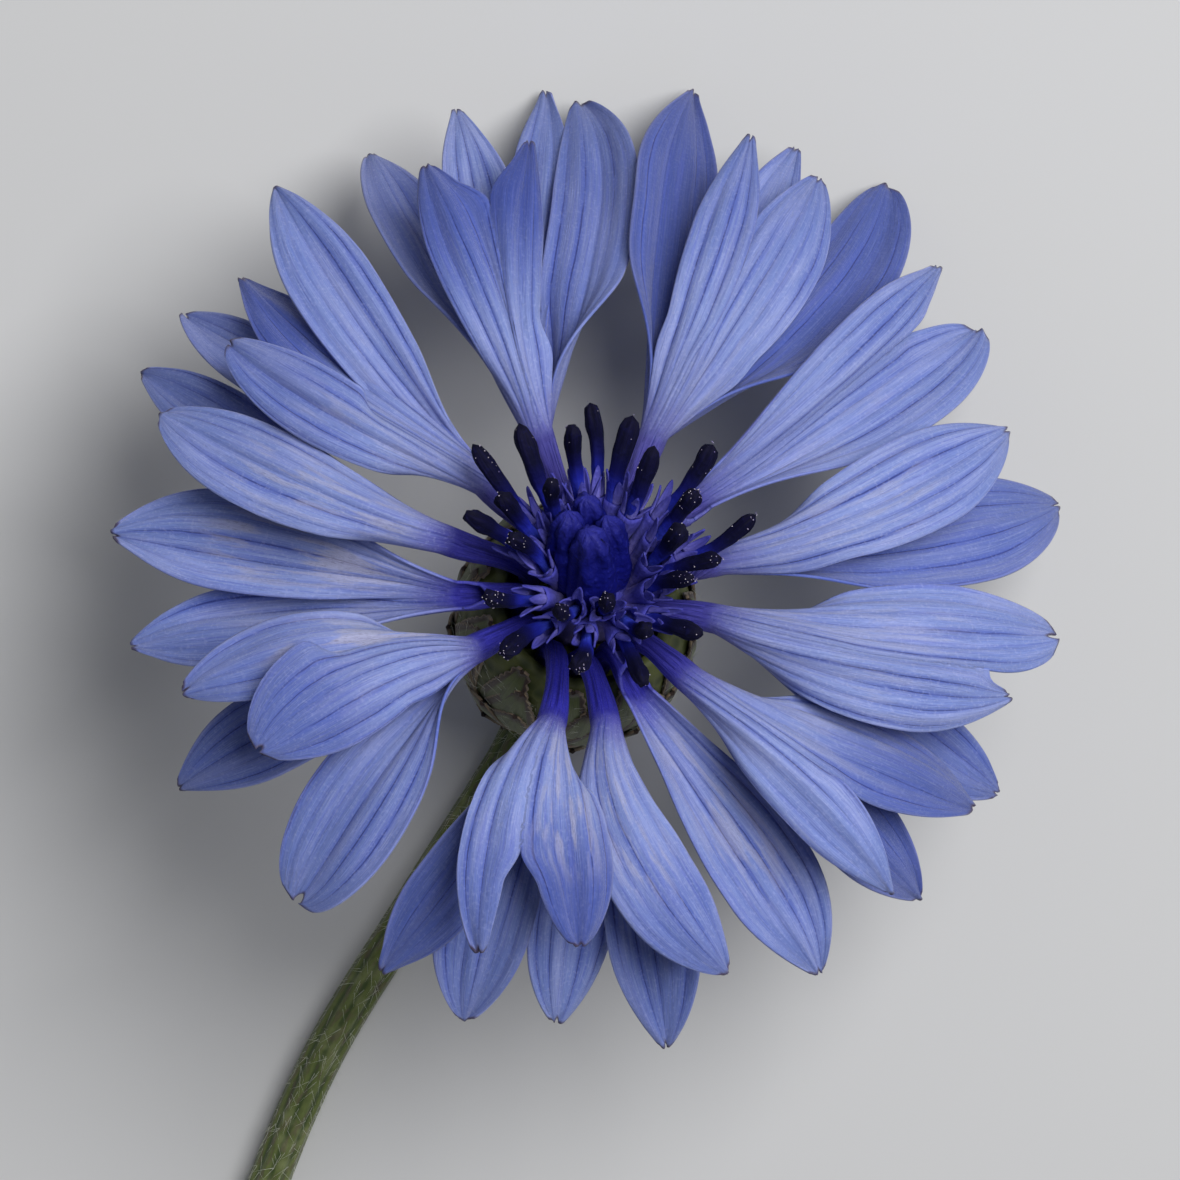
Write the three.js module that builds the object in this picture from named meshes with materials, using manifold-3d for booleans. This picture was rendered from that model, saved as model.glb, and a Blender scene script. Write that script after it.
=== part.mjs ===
// A cut cornflower, Centaurea cyanus, lying on a flat surface.
// Units are millimetres, +Z is up, and the surface is the plane z = 0.
// The stem lies along +Y. Its neck bends up to the flower head, whose face leans towards -Y.
// The head is modelled about its own axis: its frame has the mouth of the involucre at z = 0, with
// +z out of the face. Azimuths are degrees round that axis.

import * as THREE from "three";
import { mergeVertices } from "three/addons/utils/BufferGeometryUtils.js";
import Module from "manifold-3d";

const wasm = await Module();
wasm.setup();

// ---- driving dimensions ----

const GAP = 0.3; // between pieces that touch on the real flower

const HEAD_LEAN = 30; // degrees from upright to the axis of the head, towards -Y
const HEAD_TURN = -154; // degrees that the head is turned on the neck, about its own axis

const STEM_RADIUS = 1.0;
const STEM_LENGTH = 70; // from the end of the neck to the cut
const STEM_SIDES = 10;
const NECK_BEND = 6; // radius of the bend between the stem and the head
// How far the lying stem bows to the side at fractions of its length.
const STEM_BOW = [
  [0.12, 0.9],
  [0.25, 1.7],
  [0.42, 0.9],
  [0.62, -0.4],
  [0.8, -0.7],
  [1.0, 0.4],
];

const INVOLUCRE_LENGTH = 12;
const INVOLUCRE_RADIUS = 5.0;
const INVOLUCRE_FOOT = 1.3; // radius where it meets the stem
const MOUTH_RADIUS = 4.2;
const DISH_RADIUS = 3.6;
const DISH_DEPTH = 2.5;

const BRACT_ROWS = 4;
const BRACTS_IN_ROW = 7;
const BRACT_LENGTH = 5.8;
const BRACT_WIDTH = 4.2;

const BLADE = 0.6; // thickness of every lobe and bract
const LOBE_ROWS = 7;
const LOBE_COLUMNS = 3;
const LOBE_WIDEST = 0.64; // fraction of a lobe's length where it starts to narrow to its tip
const LOBE_FULL = 0.62; // fraction of the length by which it has its whole width
const LOBE_HOLLOW = 16; // degrees, half the arc across a lobe at its widest
const TIP_HALF_WIDTH = 0.25;
const SHORT_NOTCH = 0.08; // fraction of the length for which neighbouring lobes stay joined
const SHORT_PARTING = 0.3; // fraction of the length over which their edges part beyond that
const LONG_PARTING = 0.15; // the same for lobes that are joined further

const ROOT_CIRCLE = 2.6; // radius on which the ray florets stand in the dish
const RAY_TUBE_RADIUS = 0.45;
const THROAT_RADIUS = 0.6;
const THROAT_RISE = 30; // degrees above the plane of the mouth in which a tube ends

const CORE_RADIUS = 1.85; // the packed tubes of the disc florets
const CORE_TOP = 4.2;
const DISC_FLORETS = 24;
const CLOSED_BUDS = [[180, 0.6], [270, 1], [0, 0.2], [90, 0.3]]; // azimuth and size, a clump in the middle
const GOLDEN_ANGLE = 137.5;
const ANTHER_RADIUS = 0.38;
const DISC_LEAN = { azimuth: 118, florets: 0.9, buds: 1.7 }; // where the whole disc leans, and how far

// Each ray floret: where its throat is (azimuth, distance from the axis, height), the part of the
// throat's rim that carries lobes (degrees, 90 on the side of the viewer of the face), and its
// lobes in their order round the rim. A lobe has the azimuth, reach and height of its tip, its
// width, the side that it lies on (over: its back shows; under: its face shows), how blunt its tip
// is (0.5 round, 0.9 pointed), how far its middle bows to the side and is lifted, the fraction of
// its length joined to the next lobe, and the fraction by which it is full, if that isn't the usual.
const RAY_FLORETS = [
  { throat: [68, 6.9, 4.5], rim: [18, 378], lobes: [
    { tip: [70.5, 21.4, 5], width: 2.7, side: "over", blunt: 0.85, bow: -0.15, joined: 0.22 },
    { tip: [61, 21.4, 4], width: 3.9, side: "over", blunt: 0.7, bow: -0.6 },
    { tip: [54.6, 25.1, "surface"], width: 4.3, side: "under", blunt: 0.5, bow: -1.8, lift: -1.5, full: 0.42 },
    { tip: [64.9, 23.4, 1], width: 2.8, side: "under", blunt: 0.8 },
    { tip: [77, 25.4, -1.5], width: 4.0, side: "under", blunt: 1.0, bow: 0.6, full: 0.42 },
  ] },
  { throat: [112, 6.9, 4.5], rim: [30, 390], lobes: [
    { tip: [112, 19.9, 5], width: 3.2, side: "over", blunt: 0.7, joined: 0.75 },
    { tip: [98, 19.9, 5], width: 2.4, side: "over", blunt: 0.8, bow: 0.9 },
    { tip: [88.9, 24.3, -2.2], width: 3.9, side: "under", blunt: 0.6, bow: -1.5, full: 0.38 },
    { tip: [92.1, 25.2, "surface"], width: 2.6, side: "under", blunt: 0.9, lift: -0.8 },
    { tip: [103.3, 23.6, 0], width: 3.2, side: "under", blunt: 0.9 },
    { tip: [112.5, 23.5, -3], width: 3.6, side: "under", blunt: 0.7, bow: 0.4 },
  ] },
  { throat: [140, 6.3, 4], rim: [0, 360], lobes: [
    { tip: [148, 19, 4.5], width: 3.3, side: "over", blunt: 0.5, bow: 1.0, lift: 0.2, joined: 0.4 },
    { tip: [136.6, 21, 0.8], width: 3.4, side: "over", blunt: 0.9, bow: 1.0 },
    { tip: [126.8, 23, 1.5], width: 3.8, side: "under", blunt: 0.8, bow: 0.85 },
    { tip: [142.4, 22.2, -2], width: 3.5, side: "under", blunt: 0.7, bow: 0.8 },
  ] },
  { throat: [169, 6.9, 4.5], rim: [-10, 350], lobes: [
    { tip: [158.6, 20.4, 2.5], width: 3.9, side: "over", blunt: 0.6, bow: 0.75 },
    { tip: [150.6, 22.4, -2.5], width: 3.2, side: "under", blunt: 0.8, bow: 0.3, lift: -0.7 },
  ] },
  { throat: [188, 6.1, 3.2], rim: [170, 370], lobes: [
    { tip: [172, 21.1, -1], width: 4.5, side: "under", blunt: 0.8, bow: -0.7, lift: -1.3 },
    { tip: [185.1, 20, -2.5], width: 3.7, side: "under", blunt: 0.8, bow: -0.4, lift: -1.8 },
  ] },
  { throat: [213, 6.8, 4.5], rim: [15, 375], lobes: [
    { tip: [210, 17.4, 6], width: 5.0, side: "over", blunt: 0.5, bow: -1.0, joined: 0.5 },
    { tip: [197.4, 19, 4], width: 3.8, side: "over", blunt: 0.7, bow: -0.8 },
    { tip: [205, 19.6, -2], width: 3.8, side: "under", blunt: 0.8, bow: -0.3 },
    { tip: [227, 19, 0], width: 4.8, side: "under", blunt: 0.4 },
  ] },
  { throat: [252, 7.5, 5], rim: [0, 360], lobes: [
    { tip: [265, 17.4, 7], width: 3.6, side: "over", blunt: 0.6, joined: 0.6 },
    { tip: [251.8, 18.6, 7], width: 2.1, side: "over", blunt: 0.6, bow: -1.1 },
    { tip: [241.5, 19.5, 1], width: 3.2, side: "under", blunt: 0.8, bow: 0.35 },
    { tip: [253.6, 19.8, -0.5], width: 4.2, side: "under", blunt: 0.7, bow: -0.6 },
  ] },
  { throat: [272, 6.8, 4], rim: [30, 390], lobes: [
    { tip: [286, 18.7, 5], width: 3.9, side: "over", blunt: 0.7, bow: -1.35, lift: -0.2 },
    { tip: [266, 18.7, -2], width: 3.8, side: "under", blunt: 0.7, bow: -0.2, lift: -0.5 },
    { tip: [279.5, 20.2, -1], width: 4.0, side: "under", blunt: 0.8 },
  ] },
  { throat: [290, 5.3, 3], rim: [180, 360], lobes: [
    { tip: [301.6, 19.5, -1], width: 4.5, side: "under", blunt: 0.8, bow: 0.5, lift: -0.8 },
  ] },
  { throat: [309, 6.2, 4.5], rim: [-20, 340], lobes: [
    { tip: [330.2, 19.4, 1.5], width: 4.0, side: "over", blunt: 0.7, lift: -0.4, joined: 0.5 },
    { tip: [312.3, 18.9, 3.4], width: 3.0, side: "over", blunt: 0.9, bow: 0.2 },
    { tip: [319.3, 19.8, -2], width: 3.9, side: "under", blunt: 0.8 },
  ] },
  { throat: [340, 5.6, 4], rim: [-20, 340], lobes: [
    { tip: [354.9, 20.9, 2], width: 4.6, side: "over", blunt: 0.45, bow: -0.4, joined: 0.8 },
    { tip: [345, 19, 3], width: 3.7, side: "over", blunt: 0.8, bow: -1.3, lift: 0.8 },
    { tip: [336.7, 20.3, -2], width: 3.8, side: "under", blunt: 0.7, lift: -1.4 },
  ] },
  { throat: [8, 5.6, 4.0], rim: [-10, 350], lobes: [
    { tip: [21.2, 20, 3.5], width: 4.5, side: "over", blunt: 0.7, bow: -0.8, lift: 0.5 },
    { tip: [13.8, 22.6, -2], width: 5.1, side: "under", blunt: 0.75, bow: -0.8 },
  ] },
  { throat: [38, 6.1, 3.8], rim: [170, 370], lobes: [
    { tip: [35.4, 22.2, 0.5], width: 4.4, side: "under", blunt: 0.5, bow: -0.7, lift: -0.4, joined: 0.68 },
    { tip: [43.8, 22.4, 1.5], width: 2.7, side: "under", blunt: 0.9, bow: -0.4, lift: 0.3 },
  ] },
];

// ---- shared helpers ----

const rad = THREE.MathUtils.degToRad;
const { lerp, smoothstep } = THREE.MathUtils;

function polar(azimuth, distance, height) {
  const angle = rad(azimuth);
  return new THREE.Vector3(distance * Math.cos(angle), distance * Math.sin(angle), height);
}

// A closed geometry as a solid that can be joined and cut.
function solidOf(geometry) {
  const bare = geometry.clone();
  bare.deleteAttribute("normal");
  bare.deleteAttribute("uv");
  const merged = mergeVertices(bare, 1e-4);
  const mesh = new wasm.Mesh({
    numProp: 3,
    vertProperties: merged.attributes.position.array,
    triVerts: new Uint32Array(merged.index.array),
  });
  return new wasm.Manifold(mesh);
}

// Closed geometries joined in one body. Its outer shell alone is kept, so that no hollow is sealed
// between the pieces.
function joined(geometries) {
  const whole = geometries.map(solidOf).reduce((sum, piece) => sum.add(piece));
  return whole.decompose().reduce((most, shell) => (shell.volume() > most.volume() ? shell : most));
}

function meshOf(name, solid, material) {
  const { vertProperties, triVerts } = solid.getMesh();
  const geometry = new THREE.BufferGeometry();
  geometry.setAttribute("position", new THREE.BufferAttribute(vertProperties, 3));
  geometry.setIndex(new THREE.BufferAttribute(triVerts, 1));
  geometry.computeVertexNormals();
  const mesh = new THREE.Mesh(geometry, material);
  mesh.name = name;
  return mesh;
}

// A cylinder bent along a curve. radiusAt gives its radius at fractions of the curve's length.
function bentRod(curve, radiusAt, sides, steps) {
  const rod = new THREE.CylinderGeometry(1, 1, 1, sides, steps);
  const frames = curve.computeFrenetFrames(steps);
  const place = rod.attributes.position;
  for (let i = 0; i < place.count; i++) {
    const along = place.getY(i) + 0.5;
    const step = Math.round(along * steps);
    const radius = radiusAt(along);
    const point = curve.getPointAt(along)
      .addScaledVector(frames.normals[step], place.getZ(i) * radius)
      .addScaledVector(frames.binormals[step], place.getX(i) * radius);
    place.setXYZ(i, point.x, point.y, point.z);
  }
  return rod;
}

// A sheet of even thickness. surface(along, across) gives its middle, with along from 0 to 1 and
// across from -1 to 1. Both faces are split into the same triangles, and a rim closes them.
function thickSheet(surface, rows, columns, thickness) {
  const sheet = new THREE.PlaneGeometry(2, 1, columns, rows);
  const middle = sheet.attributes.position;
  for (let i = 0; i < middle.count; i++) {
    const point = surface(middle.getY(i) + 0.5, middle.getX(i));
    middle.setXYZ(i, point.x, point.y, point.z);
  }
  sheet.computeVertexNormals();
  const count = middle.count;
  const corners = new Float32Array(count * 6);
  for (let i = 0; i < count; i++) {
    const point = new THREE.Vector3().fromBufferAttribute(middle, i);
    const offset = new THREE.Vector3()
      .fromBufferAttribute(sheet.attributes.normal, i)
      .multiplyScalar(thickness / 2);
    point.clone().add(offset).toArray(corners, i * 3);
    point.clone().sub(offset).toArray(corners, (count + i) * 3);
  }
  const upper = [...sheet.index.array];
  const faces = [...upper];
  for (let i = 0; i < upper.length; i += 3) {
    faces.push(count + upper[i], count + upper[i + 2], count + upper[i + 1]);
  }
  const border = borderOf(rows, columns);
  border.forEach((a, i) => {
    const b = border[(i + 1) % border.length];
    faces.push(a, count + a, b, b, count + a, count + b);
  });
  const closed = new THREE.BufferGeometry();
  closed.setAttribute("position", new THREE.BufferAttribute(corners, 3));
  closed.setIndex(faces);
  return closed;
}

// The vertices round the edge of a plane's grid, counter-clockwise seen from its front.
function borderOf(rows, columns) {
  const across = columns + 1;
  const border = [];
  for (let row = 0; row < rows; row++) border.push(row * across);
  for (let column = 0; column < columns; column++) border.push(rows * across + column);
  for (let row = rows; row > 0; row--) border.push(row * across + columns);
  for (let column = columns; column > 0; column--) border.push(column);
  return border;
}

// ---- the lie of the flower ----

const neckTurn = rad(90 - HEAD_LEAN);
const headFoot = new THREE.Vector3(
  0,
  -NECK_BEND * Math.sin(neckTurn),
  STEM_RADIUS + NECK_BEND * (1 - Math.cos(neckTurn)),
);
const headAxis = new THREE.Vector3(0, -Math.sin(rad(HEAD_LEAN)), Math.cos(rad(HEAD_LEAN)));
const mouthCentre = headFoot.clone().addScaledVector(headAxis, INVOLUCRE_LENGTH);

// The height in the head's frame at which a lobe's tip touches the surface.
function surfaceHeight(azimuth, reach) {
  const towardsSurface = -reach * Math.sin(rad(azimuth + HEAD_TURN)) * Math.sin(rad(HEAD_LEAN));
  const clearance = (BLADE / 2) * Math.cos(rad(HEAD_LEAN)) + TIP_HALF_WIDTH;
  return (towardsSurface + clearance - mouthCentre.z) / Math.cos(rad(HEAD_LEAN));
}

// ---- stem ----

function makeStem(material) {
  const neck = [];
  const neckSteps = 4;
  for (let i = neckSteps; i > 0; i--) {
    const turn = (neckTurn * i) / neckSteps;
    neck.push(new THREE.Vector3(
      0,
      -NECK_BEND * Math.sin(turn),
      STEM_RADIUS + NECK_BEND * (1 - Math.cos(turn)),
    ));
  }
  neck[0].addScaledVector(headAxis, -GAP);
  const lying = STEM_BOW.map(([along, bow]) => (
    new THREE.Vector3(bow, along * STEM_LENGTH, STEM_RADIUS)
  ));
  const start = new THREE.Vector3(0, 0, STEM_RADIUS);
  const curve = new THREE.CatmullRomCurve3([...neck, start, ...lying]);
  const rod = bentRod(curve, () => STEM_RADIUS, STEM_SIDES, 26);
  return meshOf("stem", solidOf(rod), material);
}

// ---- involucre ----

// Radius of the egg-shaped involucre at a fraction of its length from the foot.
function involucreRadius(along) {
  const straight = lerp(INVOLUCRE_FOOT, MOUTH_RADIUS, along);
  const belly = INVOLUCRE_RADIUS - (INVOLUCRE_FOOT + MOUTH_RADIUS) / 2;
  return straight + belly * Math.max(0, Math.sin(Math.PI * along)) ** 0.7;
}

// A bract is a blade that hugs the egg. Its foot is sunk in it, and its point stands off a little.
function bractSheet(azimuth, foot) {
  const surface = (along, across) => {
    const height = foot + along * BRACT_LENGTH;
    const taper = Math.max(0.12, Math.cos((Math.PI / 2) * along ** 1.6));
    const radius = involucreRadius(1 + height / INVOLUCRE_LENGTH) + lerp(-0.1, 0.3, along);
    const halfAngle = (BRACT_WIDTH * taper) / 2 / radius;
    return polar(azimuth + THREE.MathUtils.radToDeg(halfAngle) * across, radius, height);
  };
  return thickSheet(surface, 3, 2, BLADE);
}

function makeInvolucre(material) {
  const steps = 7;
  const profile = [new THREE.Vector2(0, -INVOLUCRE_LENGTH)];
  for (let i = 0; i <= steps; i++) {
    const along = i / steps;
    profile.push(new THREE.Vector2(involucreRadius(along), (along - 1) * INVOLUCRE_LENGTH));
  }
  profile.push(new THREE.Vector2(DISH_RADIUS, 0));
  profile.push(new THREE.Vector2(DISH_RADIUS, -DISH_DEPTH));
  profile.push(new THREE.Vector2(0, -DISH_DEPTH));
  const pieces = [new THREE.LatheGeometry(profile, 18).rotateX(Math.PI / 2)];
  for (let row = 0; row < BRACT_ROWS; row++) {
    const rise = (INVOLUCRE_LENGTH - BRACT_LENGTH - BLADE) / (BRACT_ROWS - 1);
    for (let i = 0; i < BRACTS_IN_ROW; i++) {
      const azimuth = ((i + (row % 2) / 2) * 360) / BRACTS_IN_ROW;
      pieces.push(bractSheet(azimuth, row * rise - INVOLUCRE_LENGTH + BLADE));
    }
  }
  return meshOf("involucre", joined(pieces), material);
}

// ---- ray florets ----

// The middle line, width and turn of one lobe, as functions of the fraction of its length.
function lobeFrame(lobe, index, count, floret, throat) {
  const slot = (floret.rim[1] - floret.rim[0]) / count;
  const place = floret.rim[0] + (index + 0.5) * slot;
  const start = throat.centre.clone()
    .addScaledVector(throat.side, THROAT_RADIUS * Math.cos(rad(place)))
    .addScaledVector(throat.up, THROAT_RADIUS * Math.sin(rad(place)));
  const [azimuth, reach, height] = lobe.tip;
  const tip = polar(azimuth, reach, height === "surface" ? surfaceHeight(azimuth, reach) : height);
  const chord = tip.clone().sub(start);
  const level = new THREE.Vector3(chord.x, chord.y, 0).normalize();
  const slope = Math.atan2(chord.z, Math.hypot(chord.x, chord.y));
  const heading = (rise, away) => level.clone()
    .lerp(away, 0.5)
    .normalize()
    .multiplyScalar(Math.cos(slope + rad(rise)) * (chord.length() / 3))
    .setZ(Math.sin(slope + rad(rise)) * (chord.length() / 3));
  const away = new THREE.Vector3(throat.centre.x, throat.centre.y, 0).normalize();
  const bow = lobe.bow ?? 0;
  const aside = new THREE.Vector3(-level.y * bow, level.x * bow, lobe.lift ?? 0).multiplyScalar(4 / 3);
  const curve = new THREE.CubicBezierCurve3(
    start,
    start.clone().add(heading(28, away)).add(aside),
    tip.clone().sub(heading(-22, level)).add(aside),
    tip,
  );
  // The turn is that of the rim at the start. It settles with the back or the face of the lobe up.
  const firstTurn = place + 90;
  const flat = lobe.side === "over" ? 180 : 360;
  return {
    curve,
    outward: throat.outward,
    halfSlot: slot / 2,
    halfWidth: lobe.width / 2,
    blunt: lobe.blunt,
    full: lobe.full ?? LOBE_FULL,
    turnAt: (along) => lerp(firstTurn, lerp(flat, firstTurn, 0.2), smoothstep(along, 0, 0.5)),
  };
}

function lobePoint(frame, along, across) {
  const centre = frame.curve.getPoint(along);
  const forward = frame.outward.clone()
    .lerp(frame.curve.getTangent(along), smoothstep(along, 0, 0.25))
    .normalize();
  const side = new THREE.Vector3(0, 0, 1).cross(forward).normalize();
  const up = forward.clone().cross(side);
  const turn = rad(frame.turnAt(along));
  const atRim = THROAT_RADIUS * Math.sin(rad(frame.halfSlot));
  const rise = Math.sin((Math.PI / 2) * Math.min(1, along / frame.full)) ** 1.3;
  const past = Math.max(0, (along - LOBE_WIDEST) / (1 - LOBE_WIDEST));
  const taper = Math.max(0, Math.cos((Math.PI / 2) * past)) ** frame.blunt;
  const half = Math.max(TIP_HALF_WIDTH, lerp(atRim, frame.halfWidth, rise) * taper);
  const arc = rad(lerp(frame.halfSlot, LOBE_HOLLOW, smoothstep(along, 0, 0.35)));
  const wide = (half * Math.sin(across * arc)) / Math.sin(arc);
  const deep = (half * (1 - Math.cos(across * arc))) / Math.sin(arc);
  return centre
    .addScaledVector(side, wide * Math.cos(turn) - deep * Math.sin(turn))
    .addScaledVector(up, wide * Math.sin(turn) + deep * Math.cos(turn));
}

// The surface of a lobe, with each edge drawn to the neighbour's edge as far as they are joined.
function lobeSurface(frames, lobes, index) {
  const closedRing = frames[0].halfSlot * 2 * frames.length > 359;
  const count = frames.length;
  const before = index > 0 || closedRing ? (index + count - 1) % count : null;
  const after = index < count - 1 || closedRing ? (index + 1) % count : null;
  const draw = (along, own, other, joined) => {
    const notch = joined ?? SHORT_NOTCH;
    const share = 1 - smoothstep(along, notch, notch + (joined ? LONG_PARTING : SHORT_PARTING));
    return own.clone().lerp(other, 0.5 * share * 1.08);
  };
  return (along, across) => {
    const point = lobePoint(frames[index], along, across);
    const edge = Math.sign(across);
    const neighbour = edge > 0 ? after : before;
    if (edge === 0 || neighbour === null || neighbour === index) return point;
    const notch = edge > 0 ? lobes[index].joined : lobes[neighbour].joined;
    const own = lobePoint(frames[index], along, edge);
    const other = lobePoint(frames[neighbour], along, -edge);
    const shift = draw(along, own, other, notch).sub(own);
    return point.addScaledVector(shift, across * across);
  };
}

function makeRayFloret(name, floret, rootAzimuth, material) {
  const [azimuth, distance, height] = floret.throat;
  const centre = polar(azimuth, distance, height);
  const outward = polar(azimuth, Math.cos(rad(THROAT_RISE)), Math.sin(rad(THROAT_RISE)));
  const side = polar(azimuth + 90, 1, 0);
  const throat = { centre, outward, side, up: outward.clone().cross(side) };
  const root = polar(rootAzimuth, ROOT_CIRCLE, GAP - DISH_DEPTH);
  const curve = new THREE.CubicBezierCurve3(
    root,
    root.clone().add(polar(rootAzimuth, -0.1, 4.4)),
    centre.clone().addScaledVector(outward, -2.6),
    centre.clone().addScaledVector(outward, 0.5),
  );
  const widest = THROAT_RADIUS + BLADE / 2 - 0.1;
  const flare = (along) => lerp(RAY_TUBE_RADIUS, widest, smoothstep(along, 0.6, 1));
  const frames = floret.lobes.map((lobe, i) => lobeFrame(lobe, i, floret.lobes.length, floret, throat));
  const blades = floret.lobes.map((lobe, i) => (
    thickSheet(lobeSurface(frames, floret.lobes, i), LOBE_ROWS, LOBE_COLUMNS, BLADE)
  ));
  return meshOf(name, joined([bentRod(curve, flare, 7, 6), ...blades]), material);
}

// ---- disc florets ----

// A repeatable stream of numbers from 0 to 1.
function seeded(seed) {
  let state = seed;
  return () => {
    state = (state * 1664525 + 1013904223) % 4294967296;
    return state / 4294967296;
  };
}

// An open disc floret: its tube, the swelling of its corolla, and its anther tube.
function openFloret(azimuth, foot, tipReach, tipHeight) {
  const curve = new THREE.QuadraticBezierCurve3(
    polar(azimuth, foot, 2.2),
    polar(azimuth, foot + 0.25 * tipReach, 0.66 * tipHeight),
    polar(azimuth, tipReach, tipHeight).add(polar(DISC_LEAN.azimuth, DISC_LEAN.florets, 0)),
  );
  const radiusAt = (along) => {
    const corolla = 0.24 * Math.exp(-(((along - 0.58) / 0.13) ** 2));
    const point = along > 0.95 ? 0.55 : 1;
    return (ANTHER_RADIUS + corolla) * point;
  };
  return bentRod(curve, radiusAt, 5, 4);
}

function closedBud(azimuth, size) {
  const aside = polar(180, 0.25, 0);
  const curve = new THREE.QuadraticBezierCurve3(
    polar(azimuth, 0.6, 1.5).add(aside),
    polar(azimuth, 1.2, 4.6).add(polar(DISC_LEAN.azimuth + 180, 0.4, 0)).add(aside),
    polar(azimuth, 0.85, 7.7 + 1.2 * size).add(polar(DISC_LEAN.azimuth, DISC_LEAN.buds, 0)).add(aside),
  );
  const radiusAt = (along) => 0.3 + (0.45 + 0.35 * size) * Math.sin(Math.PI * Math.min(1, along * 0.93)) ** 0.8;
  return bentRod(curve, radiusAt, 6, 6);
}

function makeDiscFlorets(material) {
  const draw = seeded(7);
  const floor = GAP - DISH_DEPTH;
  const core = new THREE.CylinderGeometry(CORE_RADIUS * 0.7, CORE_RADIUS, CORE_TOP - floor, 14, 1)
    .rotateX(Math.PI / 2)
    .translate(0, 0, (CORE_TOP + floor) / 2);
  const pieces = [core];
  for (let i = 0; i < DISC_FLORETS; i++) {
    const share = (i + 0.5) / DISC_FLORETS;
    const azimuth = i * GOLDEN_ANGLE + (draw() - 0.5) * 10;
    const reach = 2.7 + 4.3 * share ** 0.7 + (draw() - 0.5) * 1.0;
    const height = 9.2 - 2.0 * share + (draw() - 0.5) * 1.0;
    pieces.push(openFloret(azimuth, 1.3, reach, height));
  }
  for (const [azimuth, size] of CLOSED_BUDS) pieces.push(closedBud(azimuth, size));
  return meshOf("disc_florets", joined(pieces), material);
}

// ---- assembly ----

const stemMaterial = new THREE.MeshStandardMaterial({ color: 0x5d6b35, roughness: 0.75, metalness: 0 });
const bractMaterial = new THREE.MeshStandardMaterial({ color: 0x6f7f3f, roughness: 0.7, metalness: 0 });
const rayMaterial = new THREE.MeshStandardMaterial({ color: 0x8994d6, roughness: 0.6, metalness: 0 });
const discMaterial = new THREE.MeshStandardMaterial({ color: 0x1e1496, roughness: 0.5, metalness: 0 });

const head = new THREE.Group();
head.position.copy(mouthCentre);
head.rotation.x = rad(HEAD_LEAN);
const turned = new THREE.Group();
turned.rotation.z = rad(HEAD_TURN);
head.add(turned);
turned.add(makeInvolucre(bractMaterial));
turned.add(makeDiscFlorets(discMaterial));
RAY_FLORETS.forEach((floret, i) => {
  const name = `ray_floret_${String(i + 1).padStart(2, "0")}`;
  const rootAzimuth = RAY_FLORETS[0].throat[0] + (i * 360) / RAY_FLORETS.length;
  turned.add(makeRayFloret(name, floret, rootAzimuth, rayMaterial));
});

const flower = new THREE.Group();
flower.add(makeStem(stemMaterial));
flower.add(head);

// The origin is on the surface, under the middle of the whole flower.
flower.updateMatrixWorld(true);
const box = new THREE.Box3().setFromObject(flower, true);
const middle = box.getCenter(new THREE.Vector3());
flower.position.set(-middle.x, -middle.y, -box.min.z);

export default flower;
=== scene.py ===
import random
from math import atan, atan2, cos, degrees, exp, hypot, pi, radians, sin, sqrt

import bmesh
import bpy
from mathutils import Matrix, Vector, noise


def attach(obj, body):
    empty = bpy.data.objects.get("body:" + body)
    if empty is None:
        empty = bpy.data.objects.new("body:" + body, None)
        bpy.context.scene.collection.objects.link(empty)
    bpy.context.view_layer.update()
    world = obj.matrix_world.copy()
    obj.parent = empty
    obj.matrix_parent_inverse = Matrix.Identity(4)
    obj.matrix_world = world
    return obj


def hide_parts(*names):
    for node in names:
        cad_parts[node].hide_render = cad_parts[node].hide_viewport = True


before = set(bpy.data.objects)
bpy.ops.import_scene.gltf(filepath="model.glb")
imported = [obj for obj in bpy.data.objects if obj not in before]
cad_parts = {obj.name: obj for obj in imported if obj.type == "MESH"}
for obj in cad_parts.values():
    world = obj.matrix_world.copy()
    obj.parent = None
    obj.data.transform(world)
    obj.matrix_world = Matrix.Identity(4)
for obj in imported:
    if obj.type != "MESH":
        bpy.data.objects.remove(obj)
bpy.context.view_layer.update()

# ---------------------------------------------------------------------------------------------
# Stem: the cut stalk of the flower, a ribbed green tube that lies on the surface along +Y and
# bends up into the foot of the head. It is grey with cobwebby hairs, and the cut shows its pith.

MM = 0.001  # sizes are in millimetres, and angles in degrees, unless a comment says otherwise
NECK_BEND = 6.0  # radius of the bend below the head
NECK_TURN = 60
NECK_KNOTS = 4
STEM_RADIUS = 1.0
STEM_LENGTH = 70
# how far the lying stem bows to the side, at fractions of its length
STEM_BOW = [(0.12, 0.9), (0.25, 1.7), (0.42, 0.9), (0.62, -0.4), (0.8, -0.7), (1.0, 0.4)]
STEM_STEP = 0.25
STEM_AROUND = 72
STEM_RIBS = 9
STEM_SIDE = 0.94  # share of the radius that the side has between the ribs and the hollows
RIB_HEIGHT = 0.045  # of the radius
SIDE_SHARE = 0.975  # share of the steps along the stem that its side takes, before the cut face
PITH_HOLLOW = 0.3
STEM_HAIRS = 1500
STEM_HAIR_LENGTH = 0.8
HAIR_RADIUS = 0.011

head_lean = radians(90 - NECK_TURN)
head_axis = Vector((0, -sin(head_lean), cos(head_lean)))
involucre_points = {
    tuple(round(c, 6) for c in v.co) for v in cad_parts["involucre"].data.vertices
}
lowest = min(Vector(p).dot(head_axis) for p in involucre_points)
foot_rim = [Vector(p) for p in involucre_points if Vector(p).dot(head_axis) < lowest + 0.01 * MM]
head_foot = sum(foot_rim, Vector()) / len(foot_rim)
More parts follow.
